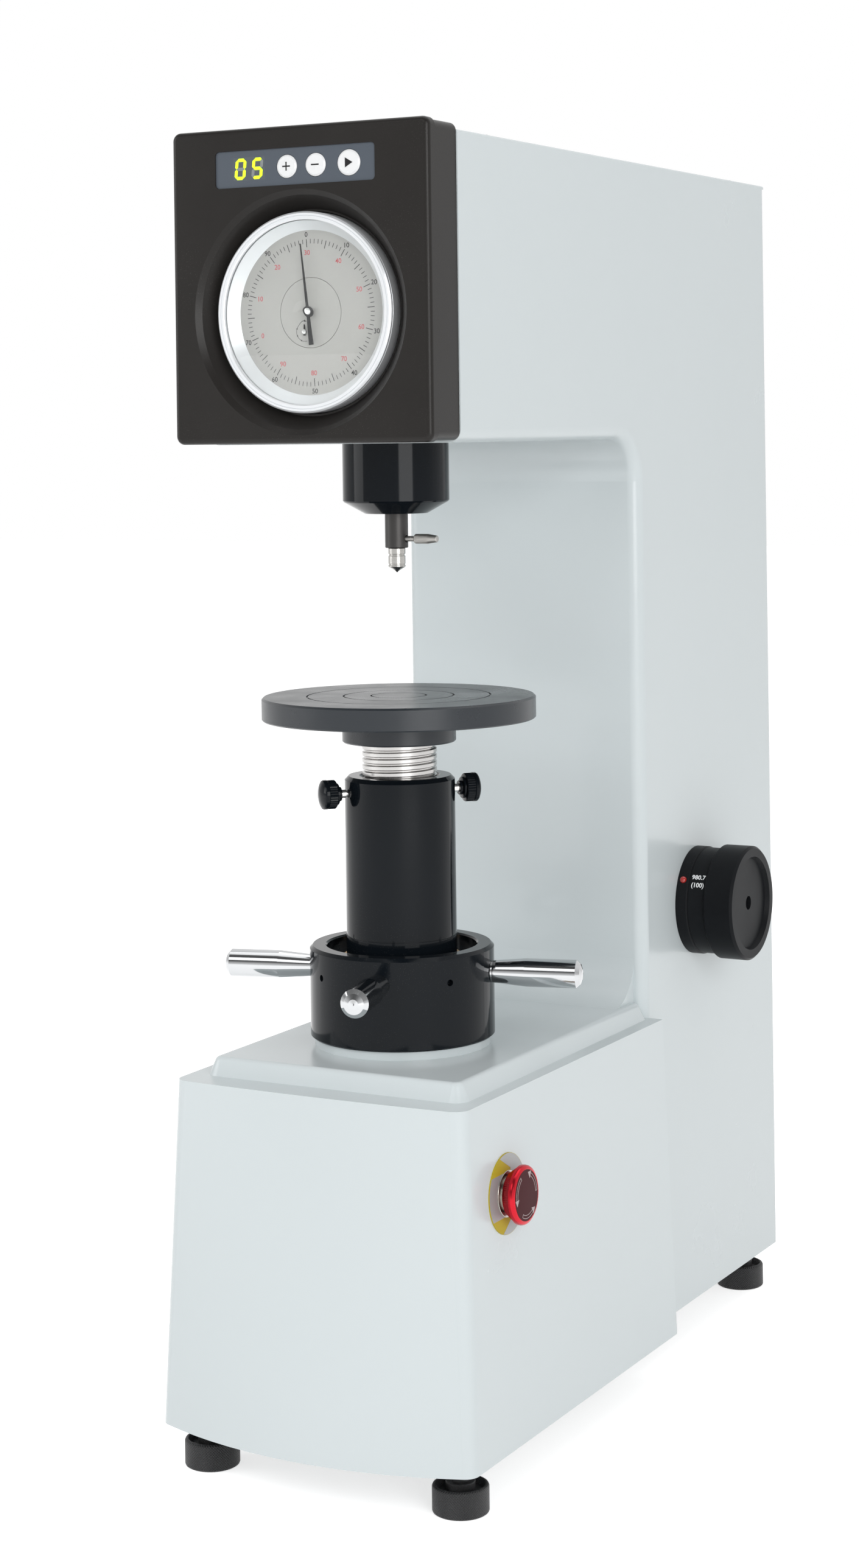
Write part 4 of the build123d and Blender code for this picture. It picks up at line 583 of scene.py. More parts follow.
def flute(bm, steps, low, high, depth):
    """Push every second column of points in, between two heights, to make grip ribs."""
    for vert in bm.verts:
        radius = math.hypot(vert.co.x, vert.co.y)
        column = round(math.atan2(vert.co.y, vert.co.x) / FULL_TURN * steps)
        if low * MM < vert.co.z < high * MM and radius > 0 and column % 2:
            shrink = 1 - depth * MM / radius
            vert.co.x *= shrink
            vert.co.y *= shrink


def slab(bm, corners, thickness, place, base=0.0):
    """Flat plate with the given outline of (x, y) corners in millimetres."""
    verts = [bm.verts.new((x * MM, y * MM, base * MM)) for x, y in corners]
    face = bm.faces.new(verts)
    grown = bmesh.ops.extrude_face_region(bm, geom=[face])["geom"]
    raised = [v for v in grown if isinstance(v, bmesh.types.BMVert)]
    bmesh.ops.translate(bm, vec=(0, 0, thickness * MM), verts=raised)
    bmesh.ops.transform(bm, matrix=place, verts=verts + raised)


def arc_strip(bm, radius, width, start, end, thickness, place, steps=24):
    """Flat curved strip between two angles in degrees."""
    inner, outer, top = (radius - width / 2) * MM, (radius + width / 2) * MM, thickness * MM
    corners = [(inner, 0, 0), (outer, 0, 0), (outer, 0, top), (inner, 0, top)]
    verts = [bm.verts.new(turned(start) @ Vector(corner)) for corner in corners]
    face = bm.faces.new(verts)
    before = set(bm.verts) - set(verts)
    bmesh.ops.spin(
        bm, geom=verts + face.edges[:] + [face], cent=(0, 0, 0), axis=(0, 0, 1),
        angle=math.radians(end - start), steps=steps,
    )
    bmesh.ops.transform(bm, matrix=place, verts=[v for v in bm.verts if v not in before])


def bar(bm, width, length, thickness, place):
    """Small block, centred on the place it is given."""
    size = Matrix.Diagonal((width * MM, length * MM, thickness * MM, 1))
    bmesh.ops.create_cube(bm, size=1.0, matrix=place @ size)


def lettering(bm, words, height, place, thickness=0.05, bolder=0.0):
    """Plain figures made into a mesh, centred on the place they are given."""
    curve = bpy.data.curves.new("figures", "FONT")
    curve.body = words
    curve.size = height / FIGURE_SHARE * MM
    curve.extrude = thickness / 2 * MM
    curve.offset = bolder * MM
    curve.resolution_u = 3
    sign = bpy.data.objects.new("figures", curve)
    link(sign)
    evaluated = sign.evaluated_get(bpy.context.evaluated_depsgraph_get())
    outline = bpy.data.meshes.new_from_object(evaluated)
    bpy.data.objects.remove(sign)
    bpy.data.curves.remove(curve)
    corners = [vert.co.copy() for vert in outline.vertices]
    centre = [(min(c[i] for c in corners) + max(c[i] for c in corners)) / 2 for i in range(3)]
    outline.transform(place @ Matrix.Translation(-Vector(centre)))
    bm.from_mesh(outline)
    bpy.data.meshes.remove(outline)


def finished(bm, name, body, finish, replaced=(), place=None, sharp=35):
    """Place a shape, close it, shade it evenly and let it ride on a body."""
    if place is not None:
        bmesh.ops.transform(bm, matrix=place, verts=bm.verts)
    bmesh.ops.remove_doubles(bm, verts=bm.verts, dist=WELD)
    bmesh.ops.recalc_face_normals(bm, faces=bm.faces)
    mesh = bpy.data.meshes.new(name)
    bm.to_mesh(mesh)
    bm.free()
    mesh.materials.append(finish)
    mesh.shade_smooth()
    mesh.set_sharp_from_angle(angle=math.radians(sharp))
    piece = bpy.data.objects.new(name, mesh)
    link(piece)
    even = piece.modifiers.new("even shading", "WEIGHTED_NORMAL")
    even.keep_sharp = True
    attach(piece, body)
    if replaced:
        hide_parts(*replaced)


TO_FRONT, TO_BACK = turned(90, "X"), turned(-90, "X")
TO_RIGHT = turned(90, "Y")
move = Matrix.Translation
print("shape helpers ready")

# %% [markdown]
# ## Elevating screw
# Under the table shows a thread with flat crests.  The outline of all its turns is spun once
# while it climbs by one pitch, so the end of each turn meets the start of the next.  It starts
# at the CAD screw's foot, and its closed top end hides inside the table's boss.

# %% Screw thread
PITCH, ROOT = 4.0, 21.5
THREAD_FORM = (
    (ROOT, 0), (ROOT, 0.3), (22.75, 0.75), (23, 1.05), (23, 3.0), (22.75, 3.3), (ROOT, 3.75),
)
THREAD_STEPS = 56
BOSS_FOOT, IN_BOSS = 28.2, 0.5
table_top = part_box("work_table")[1].z
thread_top = table_top - (BOSS_FOOT - IN_BOSS) * MM
turns = int((thread_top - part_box("elevating_screw")[0].z) / (PITCH * MM)) - 1
bm = bmesh.new()
outline = []
for turn in range(turns):
    start = turn * PITCH
    outline += [(radius, start + rise) for radius, rise in THREAD_FORM]
outline.append((ROOT, turns * PITCH))
row = [bm.verts.new((radius * MM, 0, height * MM)) for radius, height in outline]
edges = [bm.edges.new(pair) for pair in zip(row, row[1:])]
bmesh.ops.spin(
    bm, geom=row + edges, cent=(0, 0, 0), axis=(0, 0, 1), angle=FULL_TURN, steps=THREAD_STEPS,
    dvec=(0, 0, PITCH * MM / THREAD_STEPS),
)
bmesh.ops.remove_doubles(bm, verts=bm.verts, dist=WELD)
bmesh.ops.holes_fill(bm, edges=[edge for edge in bm.edges if edge.is_boundary], sides=0)
bmesh.ops.triangulate(bm, faces=[face for face in bm.faces if len(face.verts) > 4])
finished(bm, "screw_thread", "screw_column", thread_steel, ["elevating_screw"],
         move((screw_axis.x, screw_axis.y, thread_top - (turns + 1) * PITCH * MM)))
print("thread turns:", turns)

# %% [markdown]
# ## Table
# The table is one turning: a thick disc with a bevelled rim, three round grooves in its top and
# a boss below that covers the screw's end.

# %% Table
TABLE_RADIUS, TABLE_THICKNESS, BOSS_RADIUS = 84.3, 14.0, 35.0
GROOVE_SHARES = (0.201, 0.402, 0.669)
GROOVE_FORM = ((-0.55, 0), (-0.45, -0.8), (0.45, -0.8), (0.55, 0))
profile = [(0, 0)]
for share in GROOVE_SHARES:
    profile += [(TABLE_RADIUS * share + across, depth) for across, depth in GROOVE_FORM]
profile += [
    (TABLE_RADIUS - 1.2, 0), (TABLE_RADIUS, -1.2), (TABLE_RADIUS, 0.8 - TABLE_THICKNESS),
    (TABLE_RADIUS - 0.8, -TABLE_THICKNESS), (BOSS_RADIUS, -TABLE_THICKNESS),
    (BOSS_RADIUS, 0.8 - BOSS_FOOT), (BOSS_RADIUS - 0.8, -BOSS_FOOT), (0, -BOSS_FOOT),
]
plate = lathe(profile, 144)
finished(plate, "table_plate", "screw_column", table_black, ["work_table"],
         move((screw_axis.x, screw_axis.y, table_top)), 30)
print("table profile points:", len(profile))

# %% [markdown]
# ## Clamping screws of the sleeve
# Two knurled screws stand at the sleeve's top.  Each has a smooth domed cap, a fluted grip, a
# stepped collar and a bright stem.  Cap, grip and collar are one moulding; the stem is steel.

# %% Clamping screws
GRIP_STEPS = 72
for name in ("thumb_screw_left", "thumb_screw_right"):
    outward = (middle(name) - screw_axis).to_2d().normalized().to_3d()
    origin = Vector((screw_axis.x, screw_axis.y, middle(name).z))
    place = move(origin) @ outward.to_track_quat("Z", "Y").to_matrix().to_4x4()
    knob = lathe([
        (0, 38), (4.2, 38), (4.4, 38.2), (4.4, 39.6), (6.4, 39.9), (6.7, 40.2), (6.7, 41.2),
        (8.3, 41.6), (8.75, 42), (8.75, 46.6), (8.75, 46.8), (9, 47.1), (9, 48.9), (8.6, 49.6),
        (7, 50.5), (4, 51.4), (0, 51.8),
    ], GRIP_STEPS)
    flute(knob, GRIP_STEPS, 41.7, 46.7, 0.35)
    finished(knob, name + "_knob", name, gloss_black, [name], place, 28)
    stem = lathe([
        (0, 23.3), (1.6, 23.3), (2, 23.7), (2, 34.6), (2.6, 34.9), (2.6, 38.1), (0, 38.1),
    ], 32)
    finished(stem, name + "_stem", name, plain_steel, (), place)
print("clamping screws made")

# %% [markdown]
# ## Indenter clamp
# A small steel screw holds the indenter.  It has a thin neck, a fine straight knurl and a
# polished taper at its end.

# %% Indenter clamp
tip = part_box("indenter_clamp_screw")[1].x
clamp = middle("indenter_clamp_screw")
CLAMP_STEPS = 48
grip = lathe([
    (0, -24), (1.7, -24), (1.7, -15.6), (2.5, -15.5), (2.95, -15), (3, -14.8), (3, -6), (2.9, -5.6),
    (2.1, -0.4), (1.7, 0), (0, 0),
], CLAMP_STEPS)
flute(grip, CLAMP_STEPS, -15.2, -5.9, 0.14)
finished(grip, "clamp_grip", "clamp_screw", clamp_steel, ["indenter_clamp_screw"],
         move((tip, clamp.y, clamp.z)) @ TO_RIGHT, 20)
print("clamp reaches x", round(tip, 4))

# %% [markdown]
# ## Levelling feet
# A foot is a knurled cup that turns on a threaded stud.  The cup's rim is chamfered and its
# floor holds a collar round the stud.  The diamond knurl is cut too fine to model, so it is a
# bump that follows the cylinder.

# %% Feet
for name in FEET:
    low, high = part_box(name)
    top = (high.z - low.z) / MM
    cup = lathe([
        (0, 0), (15.4, 0), (16.2, 0.5), (16.5, 1.2), (16.5, 14.6), (16.1, 15.5), (15.2, 16),
        (14.5, 16), (12.6, 12.2), (12.2, 12), (8.8, 12), (8.6, 12.2), (8.6, 17.3), (8.2, 17.8),
        (5, 17.8), (5, top), (0, top),
    ], 72)
    place = move(((low.x + high.x) / 2, (low.y + high.y) / 2, low.z))
    finished(cup, name + "_cup", name, foot_knurl[name], [name], place)
print("feet made")

# %% [markdown]
# ## Bezel
# The silver ring has a fine line in its front and another in its side.  Inside the glass its
# wall runs down to the face as a cone.

# %% Bezel
bezel = lathe([
    (54, 2), (54, 0.5), (54.5, 0), (56.1, 0), (56.3, 0.4), (56.5, 0), (57.7, 0), (58.7, 1),
    (58.7, 2.6), (58.4, 2.9), (58.7, 3.2), (58.7, 12), (56, 12), (56, 9.8), (48.2, 9.8),
    (53.8, 4), (56, 4), (56, 2),
], 144, closed=True)
finished(bezel, "bezel_ring", "bezel", bezel_silver, ["dial_bezel"],
         move((dial_centre.x, dial_front, dial_centre.z)) @ TO_BACK, 25)
print("bezel starts at y", round(dial_front, 4))

# %% [markdown]
# ## Dial print
# The dial has a hundred lines with two rows of numbers, a black one outside and a red one
# inside that starts at 30.  The print turns with the bezel, because an operator sets zero by
# turning it.  It is four hundredths of a millimetre thick and stands a hair in front of the
# face.

# %% Dial print
HAIR = 0.00001  # what a print stands in front of its face, in metres
face_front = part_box("dial_face")[0].y
face_place = move((dial_centre.x, face_front - HAIR, dial_centre.z)) @ TO_FRONT
PRINT_TURN = math.radians(3.0)
DIVISIONS, RED_START = 100, 30
LINE_END, SHORT_LINE, LONG_LINE = 43.0, (0.34, 2.6), (0.4, 4.7)
BLACK_RADIUS, RED_RADIUS, FIGURE_HEIGHT = 45.8, 35.2, 3.0
INK, FIGURE_BOLDER = 0.04, 0.03
black_print, red_print = bmesh.new(), bmesh.new()
for step in range(DIVISIONS):
    angle = FULL_TURN * step / DIVISIONS - PRINT_TURN
    width, length = SHORT_LINE if step % 5 else LONG_LINE
    spot = Matrix.Rotation(-angle, 4, "Z") @ move((0, (LINE_END - length / 2) * MM, 0))
    bar(black_print, width, length, INK, face_place @ spot)
    if step % 10 == 0:
        outward = Vector((math.sin(angle), math.cos(angle), 0))
        red_step = (step + RED_START) % DIVISIONS
        for sheet, number, radius in (
            (black_print, step, BLACK_RADIUS), (red_print, red_step, RED_RADIUS),
        ):
            spot = face_place @ move(outward * radius * MM)
            lettering(sheet, str(number), FIGURE_HEIGHT, spot, INK, FIGURE_BOLDER)
finished(black_print, "dial_lines", "bezel", ink_black)
finished(red_print, "dial_red_figures", "bezel", ink_red)
print("dial lines:", DIVISIONS)

# %% [markdown]
# ## Turn counter and hands
# The middle of the dial stands still.  It carries a small counter with an arc and dots.  Both
# hands have a polished cap on their hub.

# %% Counter and hub caps
counter = middle("counter_wheel")
centre_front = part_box("dial_centre")[0].y
counter_place = move((counter.x, centre_front - HAIR, counter.z)) @ TO_FRONT
ARC_RADIUS, ARC_WIDTH, ARC_START, ARC_END = 5.6, 0.22, 78, 286
DOT_ANGLES, DOT_RADIUS, DOT_LIFT = (90, 162, 204, 246), 0.42, 0.06
marks = bmesh.new()
arc_strip(marks, ARC_RADIUS, ARC_WIDTH, ARC_START, ARC_END, INK, counter_place, 40)
for angle in map(math.radians, DOT_ANGLES):
    spot = Vector((math.cos(angle), math.sin(angle), 0)) * ARC_RADIUS * MM
    dot = counter_place @ move(spot) @ move((0, 0, DOT_LIFT * MM))
    bmesh.ops.create_circle(marks, cap_ends=True, segments=12, radius=DOT_RADIUS * MM, matrix=dot)
finished(marks, "counter_marks", "frame", ink_black)
HUB_CAPS = {
    "hand_cap": ("main_hand", "main_pointer", dial_centre, [
        (0, -0.5), (2.1, -0.5), (2.1, 0.3), (1.75, 0.75), (1, 0.95), (0, 1),
    ]),
    "small_hand_cap": ("small_hand", "small_pointer", counter, [
        (0, -0.3), (1.45, -0.3), (1.45, 0.2), (1.1, 0.55), (0, 0.7),
    ]),
}
for name, (body, hand, centre, profile) in HUB_CAPS.items():
    place = move((centre.x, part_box(hand)[0].y, centre.z)) @ TO_FRONT
    finished(lathe(profile, 32), name, body, plain_steel, (), place)
print("hub caps:", len(HUB_CAPS))

# %% [markdown]
# ## Lit figures and key signs
# The seconds display has two seven-segment figures, slightly slanted.  Lit segments give
# light of their own, and the dark ones still show faintly.  The keys carry a plus, a minus
# and a start triangle.

# %% Seven-segment figures
SEGMENTS = {
    "top": (0, 5.3, 0), "middle": (0, 0, 0), "bottom": (0, -5.3, 0),
    "left_up": (-2.75, 2.65, 90), "left_down": (-2.75, -2.65, 90),
    "right_up": (2.75, 2.65, 90), "right_down": (2.75, -2.65, 90),
}
FIGURES = {
    -5.8: {"top", "bottom", "left_up", "left_down", "right_up", "right_down"},
    5.8: {"top", "middle", "bottom", "left_up", "right_down"},
}
SEGMENT_HALF, SEGMENT_RADIUS, SEGMENT_THICKNESS, SLANT = 2.6, 0.98, 0.12, 0.09
SHOULDER = SEGMENT_HALF - SEGMENT_RADIUS
hexagon = [
    (-SEGMENT_HALF, 0), (-SHOULDER, -SEGMENT_RADIUS), (SHOULDER, -SEGMENT_RADIUS),
    (SEGMENT_HALF, 0), (SHOULDER, SEGMENT_RADIUS), (-SHOULDER, SEGMENT_RADIUS),
]
window = middle("led_display")
window_place = move((window.x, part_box("led_display")[0].y, window.z)) @ TO_FRONT
slant = Matrix(((1, SLANT, 0, 0), (0, 1, 0, 0), (0, 0, 1, 0), (0, 0, 0, 1)))
lit, unlit = bmesh.new(), bmesh.new()
for offset, shown in FIGURES.items():
    for name, (x, y, turn) in SEGMENTS.items():
        spot = move((offset * MM, 0, 0)) @ slant @ move((x * MM, y * MM, 0))
        spot = window_place @ spot @ turned(turn)
        slab(lit if name in shown else unlit, hexagon, SEGMENT_THICKNESS, spot)
finished(lit, "lit_segments", "frame", led_lit)
finished(unlit, "dark_segments", "frame", led_off)
print("segments lit:", sum(len(shown) for shown in FIGURES.values()))

# %% Key signs
SIGNS = {"plus_button": "plus_key", "minus_button": "minus_key", "start_button": "start_key"}
START_TRIANGLE = ((-2.1, -2.9), (2.9, 0), (-2.1, 2.9))
STROKE_LENGTH, STROKE_WIDTH = 5.2, 0.8
SIGN_THICKNESS, UPRIGHT_THICKNESS = 0.05, 0.051  # unequal, so no two faces coincide
for node, body in SIGNS.items():
    spot = middle(node)
    place = move((spot.x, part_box(node)[0].y - HAIR, spot.z)) @ TO_FRONT
    sign = bmesh.new()
    if node == "start_button":
        slab(sign, START_TRIANGLE, SIGN_THICKNESS, place)
    else:
        bar(sign, STROKE_LENGTH, STROKE_WIDTH, SIGN_THICKNESS, place)
    if node == "plus_button":
        bar(sign, STROKE_WIDTH, STROKE_LENGTH, UPRIGHT_THICKNESS, place)
    finished(sign, node + "_sign", body, ink_black)
print("key signs:", len(SIGNS))

# %% [markdown]
# ## Load selector
# The ring behind the knob shows the load in two units.  The figure beside the red bead is the
# one in use, so the other two stand a third of a turn away, where the knob's travel brings
# them to the bead.  The CAD flange carries its dot at another angle than the photograph shows,
# so a plain collar and a new bead replace it.

# %% Load figures and bead
BEAD_ANGLE, COLLAR_RADIUS = 29.8, 36.1
LOADS = ((0, "980.7", "(100)"), (120, "588.4", "(60)"), (-120, "1471", "(150)"))
LOAD_HEIGHT, LOAD_BOLDER, NEWTON_LIFT, KILOGRAM_LIFT = 3.2, 0.1, 4.2, -5.4
ring_low, ring_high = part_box("number_ring")
ring_radius = (ring_high.z - ring_low.z) / 2 / MM + 0.03
ring_place = move(((ring_low.x + ring_high.x) / 2, selector_axis.y, selector_axis.z))
figures = bmesh.new()
for turned_by, newton, kilogram in LOADS:
    for words, lift in ((newton, NEWTON_LIFT), (kilogram, KILOGRAM_LIFT)):
        spot = ring_place @ turned(90 - (BEAD_ANGLE + turned_by + lift), "X")
        spot = spot @ move((0, 0, ring_radius * MM))
        lettering(figures, words, LOAD_HEIGHT, spot, bolder=LOAD_BOLDER)
finished(figures, "load_figures", "selector", ink_white)
bead = lathe([
    (0, -1), (2.3, -1), (2.3, 0.1), (2.05, 0.9), (1.5, 1.5), (0.8, 1.85), (0, 1.95),
], 32)
place = move(selector_axis) @ turned(90 - BEAD_ANGLE, "X") @ move((0, 0, COLLAR_RADIUS * MM))
finished(bead, "index_bead", "frame", bead_red, (), place)
collar = lathe([
    (8.5, 0), (35.8, 0), (COLLAR_RADIUS, 0.3), (COLLAR_RADIUS, 7.5), (35.3, 8.3), (8.5, 8.3),
], 96, closed=True)
collar_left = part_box("selector_flange")[0].x
finished(collar, "selector_collar", "frame", knob_black, ["selector_flange"],
         move((collar_left, selector_axis.y, selector_axis.z)) @ TO_RIGHT)
print("loads:", [load[1] for load in LOADS])

# %% [markdown]
# ## Emergency stop
# The mushroom head has a ribbed cone to grip, a smooth rounded edge and a dark face with three
# arrows that show the way to twist it free.  It stands on a yellow plate whose middle band and
# right side are bare metal.  The base's side leans a little, so the whole group leans with it.

# %% Emergency stop
STOP_LEAN = 2.08
PLATE_HALF, PLATE_RADIUS, BARE_SHARE = 0.4, 23.2, 0.995
RIB_STEPS = 144
stop_place = move(middle("estop_plate")) @ turned(90 - STOP_LEAN, "Y")
head = lathe([
    (0, 7.6), (10.8, 7.6), (10.8, 3.4), (12.6, 3.4), (13, 3.8), (16.5, 8.9), (16.5, 9),
    (17.05, 9.4), (17.1, 10.6), (16.95, 11.5), (16.5, 12.3), (15.8, 12.8), (14.9, 13),
    (14.7, 12.9), (8, 13), (0, 13.1),
], RIB_STEPS)
flute(head, RIB_STEPS, 3.5, 8.95, 0.34)
seat = stop_place @ move((0, 0, -PLATE_HALF * MM))
finished(head, "stop_head", "estop_mushroom", red_anodised, ["estop_head"], seat, 24)
face = lathe([(0, 12.9), (14.6, 12.8), (14.6, 12.98), (8, 13.08), (0, 13.18)], 72)
finished(face, "stop_face", "estop_mushroom", stop_face, (), seat)
print("stop ribs:", RIB_STEPS // 2)

# %% Arrows on its face
ARROW_HEIGHT, ARROW_THICKNESS, ARROW_LINE, ARROW_SWEEP = 13.02, 0.1, 0.32, 62
ARROW_MIDDLE, ARROW_EDGES, TAIL_LENGTH = 12.2, (11.3, 13.1), 2.1
ARROW_TIP = ((-2.3, 0), (2.3, 0), (0.3, 3.6))
arrows = bmesh.new()
top = seat @ move((0, 0, ARROW_HEIGHT * MM))
for turn in (-30, 90, 210):
    for radius in ARROW_EDGES:
        arc_strip(arrows, radius, ARROW_LINE, turn, turn + ARROW_SWEEP, ARROW_THICKNESS, top)
    tail = top @ turned(turn) @ move((ARROW_MIDDLE * MM, 0, ARROW_THICKNESS / 2 * MM))
    bar(arrows, TAIL_LENGTH, ARROW_LINE, ARROW_THICKNESS, tail)
    tip = top @ turned(turn + ARROW_SWEEP) @ move((ARROW_MIDDLE * MM, 0, 0))
    slab(arrows, ARROW_TIP, ARROW_THICKNESS, tip)
finished(arrows, "stop_arrows", "estop_mushroom", arrow_pale)
print("arrow sweep:", ARROW_SWEEP, "degrees")


# %% Bare metal of its plate
def rim(first, past, step):
    """Points of the plate's edge, as shares of its radius, clockwise from the top."""
    angles = map(math.radians, range(first, past, step))
    return [(math.sin(angle), math.cos(angle)) for angle in angles]


RIGHT_SIDE = rim(-21, 210, 11) + [(0.16, -0.62), (0.2, 0.61)]
LEFT_BAND = rim(-123, -56, 6) + [(-0.1, 0.545), (-0.1, -0.545)]
BARE_THICKNESS = 0.06
bare = bmesh.new()
on_plate = stop_place @ move((0, 0, PLATE_HALF * MM))
for outline in (RIGHT_SIDE, LEFT_BAND):
    corners = [(-v * PLATE_RADIUS * BARE_SHARE, u * PLATE_RADIUS * BARE_SHARE) for u, v in outline]
    slab(bare, corners, BARE_THICKNESS, on_plate)
finished(bare, "plate_bare_metal", "frame", plate_metal)
print("plate points:", len(RIGHT_SIDE), len(LEFT_BAND))

# %% [markdown]
# ## Cover screws
# The covers are held by socket screws.  Their CAD heads are plain discs, so each gets a thin black
# hexagon: painted shade standing for its six-sided socket.  The screws' places are found from the
# loose parts of their node.


# %% Screw sockets, as painted shade
def islands(node):
    """Boxes of the loose parts of a CAD node, as (low, high) corners."""
    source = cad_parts[node]
    bm = bmesh.new()
    bm.from_mesh(source.data)
    bmesh.ops.transform(bm, matrix=source.matrix_world, verts=bm.verts)
    bmesh.ops.remove_doubles(bm, verts=bm.verts, dist=WELD)
    left, boxes = set(bm.verts), []
    while left:
        found, front = set(), [left.pop()]
        while front:
            vert = front.pop()
            found.add(vert)
            near = [edge.other_vert(vert) for edge in vert.link_edges]
            front += [other for other in near if other in left]
            left -= set(near)
        points = [vert.co for vert in found]
        boxes.append([
            Vector([pick(point[i] for point in points) for i in range(3)]) for pick in (min, max)
        ])
    bm.free()
    return boxes


SOCKET_RADIUS, SOCKET_THICKNESS = 1.6, 0.05
hexagon = [
    (SOCKET_RADIUS * math.cos(k * math.pi / 3), SOCKET_RADIUS * math.sin(k * math.pi / 3))
    for k in range(6)
]
sockets = bmesh.new()
screws = islands("cover_screws")
for low, high in screws:
    centre = (low + high) / 2
    upright = high.z - low.z > high.y - low.y
    if upright:
        spot = move((centre.x, centre.y, high.z + HAIR))
    else:
        spot = move((centre.x, high.y + HAIR, centre.z)) @ TO_BACK
    # a flat black hexagon on the head: painted shade in place of the socket's hollow
    slab(sockets, hexagon, SOCKET_THICKNESS, spot)
finished(sockets, "painted_socket_shade", "frame", ink_black)
print("screws:", len(screws))

# %% [markdown]
# ## Dress the CAD nodes
# Most nodes already have the right shape, so they only need a finish.  A dictionary says which
# finish each of them gets.

# %% Node finishes
DRESS = {
    body_enamel: ["main_casting", "top_cover", "rear_cover"],
    cover_black: ["head_cover"],
    gloss_black: ["spindle_housing", "handwheel_hub", "screw_sleeve", "thumb_screw_left",
                  "thumb_screw_right"],
    table_black: ["work_table"],
    knob_black: ["selector_flange", "number_ring", "selector_knob"],
    chrome: ["handwheel_spokes"],
    bright_steel: ["indenter", "elevating_screw", "thrust_race", "thrust_bearing",
                   "lever_pivot_pin", "screw_key", "cover_screws", "estop_stem"],
    dark_steel: ["spindle", "load_cam", "selector_shaft", "lift_rod"],
    clamp_steel: ["indenter_clamp_screw"],
    bezel_silver: ["dial_bezel"],
    panel_slate: ["control_panel"],
    button_white: ["plus_button", "minus_button", "start_button"],
    led_dark: ["led_display"],
    face_grey: ["dial_face", "dial_centre"],
    hand_black: ["main_pointer", "small_pointer"],
    glass: ["dial_glass"],
    red_anodised: ["estop_head"],
    sign_yellow: ["estop_plate"],
    collar_metal: ["estop_barrel", "dial_case"],
    foot_black: FEET,
    inlet_black: ["power_inlet", "power_rocker"],
    cast_grey: ["load_lever", "lever_bracket", "weight_hanger", "load_weights", "screw_guide",
                "selector_bearing", "dial_bracket"],
    bronze: ["elevating_nut", "spindle_bushes", "counter_wheel"],
    board_green: ["control_board"],
    motor_grey: ["gear_motor"],
}
dressed = 0
for finish, nodes in DRESS.items():
    for node in nodes:
        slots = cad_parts[node].data.materials
        slots.clear()
        slots.append(finish)
        dressed += 1
print("dressed", dressed, "of", len(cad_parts))

# %% [markdown]
# ## Floor and light
# The machine stands on a plain white floor.  To the camera, to mirrors and to glass the floor
# gives a little light of its own, which takes the horizon away and still leaves the machine's
# shadow.  The world does the same: it is white where the camera looks at it, and dimmer as a
# lamp.  A mirror sees white behind the machine and a darker room on the camera's side, which is
# what makes polished black look black.  Near the floor that room is pale too, so that no hard
# horizon is mirrored in the glass.

# %% Floor
FLOOR_HALF, FLOOR_LIGHT = 12.0, 0.66
bm = bmesh.new()
bmesh.ops.create_grid(bm, x_segments=1, y_segments=1, size=FLOOR_HALF)
floor_mesh = bpy.data.meshes.new("floor")
bm.to_mesh(floor_mesh)
bm.free()
floor = bpy.data.objects.new("floor", floor_mesh)
link(floor)


def looking(tree):
    """1 for camera, mirror and glass rays, 0 for the rays that carry light."""
    ray = add(tree, "ShaderNodeLightPath")
    direct = add(tree, "ShaderNodeMath", operation="MAXIMUM")
    all_three = add(tree, "ShaderNodeMath", operation="MAXIMUM")
    join(tree, (ray, "Is Camera Ray"), (direct, 0))
    join(tree, (ray, "Is Glossy Ray"), (direct, 1))
    join(tree, (ray, "Is Transmission Ray"), (all_three, 0))
    join(tree, (direct, 0), (all_three, 1))
    return ray, all_three


paper, tree, ground = new_material("white floor")
put(ground, {"Base Color": (0.9, 0.9, 0.9, 1), "Roughness": 0.9, "Specular IOR Level": 0.0,
             "Emission Color": (1, 1, 1, 1)})
ray, seen = looking(tree)
own_light = add(tree, "ShaderNodeMath", {1: FLOOR_LIGHT}, operation="MULTIPLY")
join(tree, (seen, 0), (own_light, 0))
join(tree, (own_light, 0), (ground, "Emission Strength"))
floor_mesh.materials.append(paper)
print("floor half:", FLOOR_HALF)

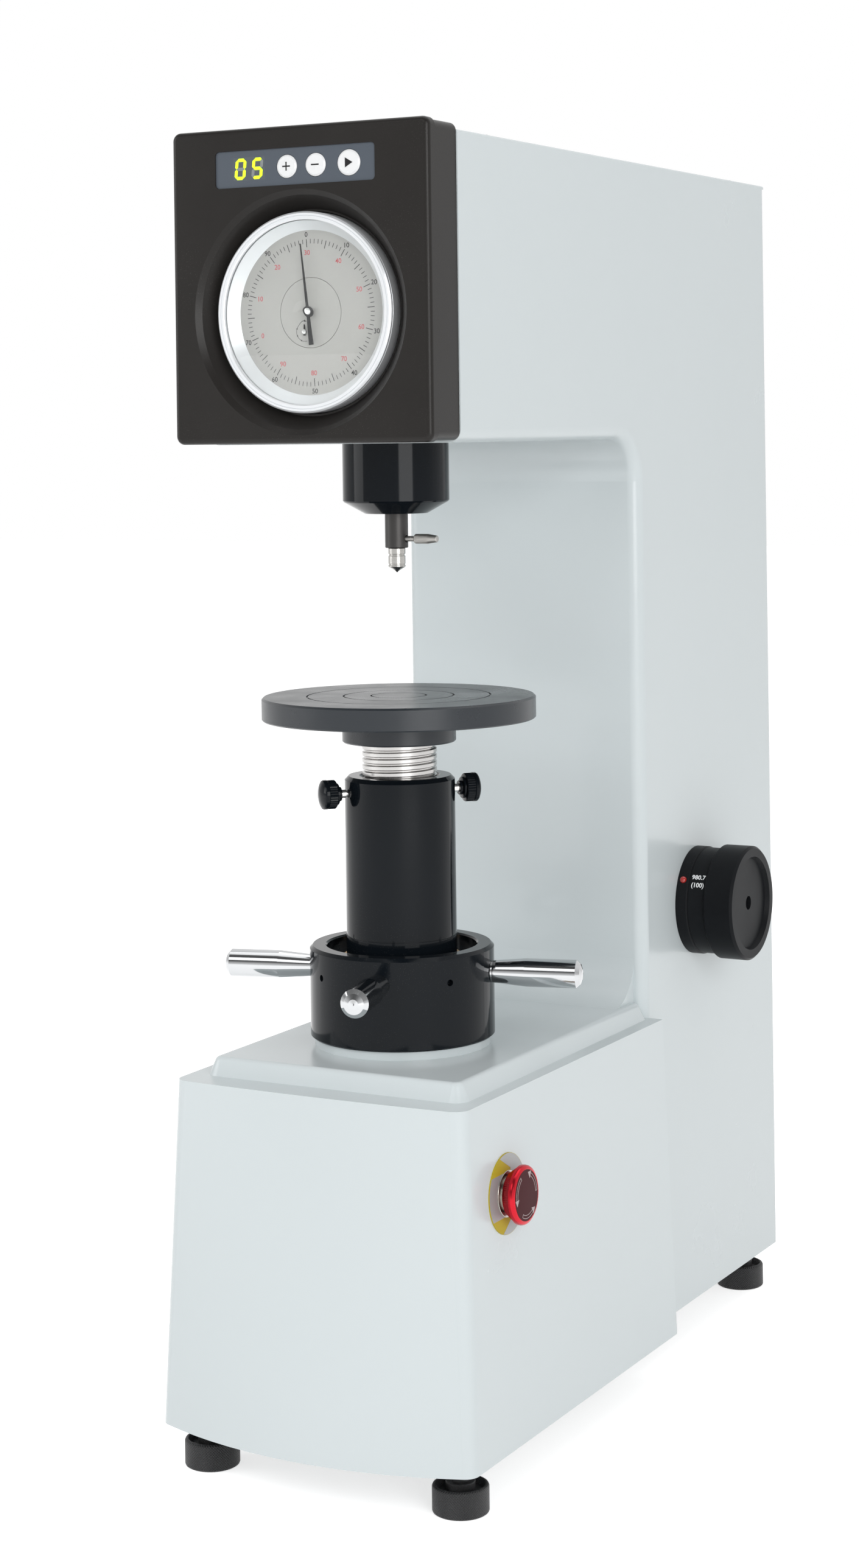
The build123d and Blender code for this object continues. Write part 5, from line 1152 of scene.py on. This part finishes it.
# %% World
DARK_ROOM, PALE_HAZE, LAMP_LEVEL = 0.1, 0.85, 0.5
RANGE = ("From Min", "From Max", "To Min", "To Max")
world = bpy.data.worlds.new("studio")
bpy.context.scene.world = world
world.use_nodes = True
tree = world.node_tree
sky = tree.nodes["Background"]
ray, seen = looking(tree)
direction = add(tree, "ShaderNodeTexCoord")
toward = add(tree, "ShaderNodeSeparateXYZ")
room, haze = [
    add(tree, "ShaderNodeMapRange", dict(zip(RANGE, limits)), interpolation_type="SMOOTHSTEP")
    for limits in ((-0.55, 0.55, DARK_ROOM, 1.0), (0.0, 0.45, PALE_HAZE, DARK_ROOM))
]
lighter = add(tree, "ShaderNodeMath", operation="MAXIMUM")
plain = add(tree, "ShaderNodeMath", operation="MAXIMUM")
lamp_level = add(tree, "ShaderNodeMix", {"A": LAMP_LEVEL}, data_type="FLOAT")
join(tree, (direction, "Generated"), (toward, 0))
join(tree, (toward, "Y"), (room, "Value"))
join(tree, (toward, "Z"), (haze, "Value"))
join(tree, (room, "Result"), (lighter, 0))
join(tree, (haze, "Result"), (lighter, 1))
join(tree, (lighter, 0), (plain, 0))
join(tree, (ray, "Is Camera Ray"), (plain, 1))
join(tree, (seen, 0), (lamp_level, "Factor"))
join(tree, (plain, 0), (lamp_level, "B"))
join(tree, (lamp_level, "Result"), (sky, "Strength"))
put(sky, {"Color": (1, 1, 1, 1)})
print("world:", world.name)

# %% Lamps
LAMPS = (
    ("window", (-3.0, -1.9, 1.5), (1.8, 2.2), 32.0),
    ("front", (-0.5, -3.0, 2.7), (2.4, 1.4), 18.0),
    ("fill", (2.5, -2.2, 1.2), (1.8, 1.8), 50.0),
    ("top", (0.0, 0.3, 3.0), (2.4, 2.4), 18.0),
)
AIM = Vector((0, 0, 0.45))
for name, place, size, watts in LAMPS:
    lamp = bpy.data.lights.new(name, "AREA")
    lamp.shape = "RECTANGLE"
    lamp.size, lamp.size_y = size
    lamp.energy = watts
    stand = bpy.data.objects.new(name, lamp)
    stand.location = place
    stand.rotation_euler = (AIM - Vector(place)).to_track_quat("-Z", "Y").to_euler()
    link(stand)
print("lamps:", len(LAMPS))
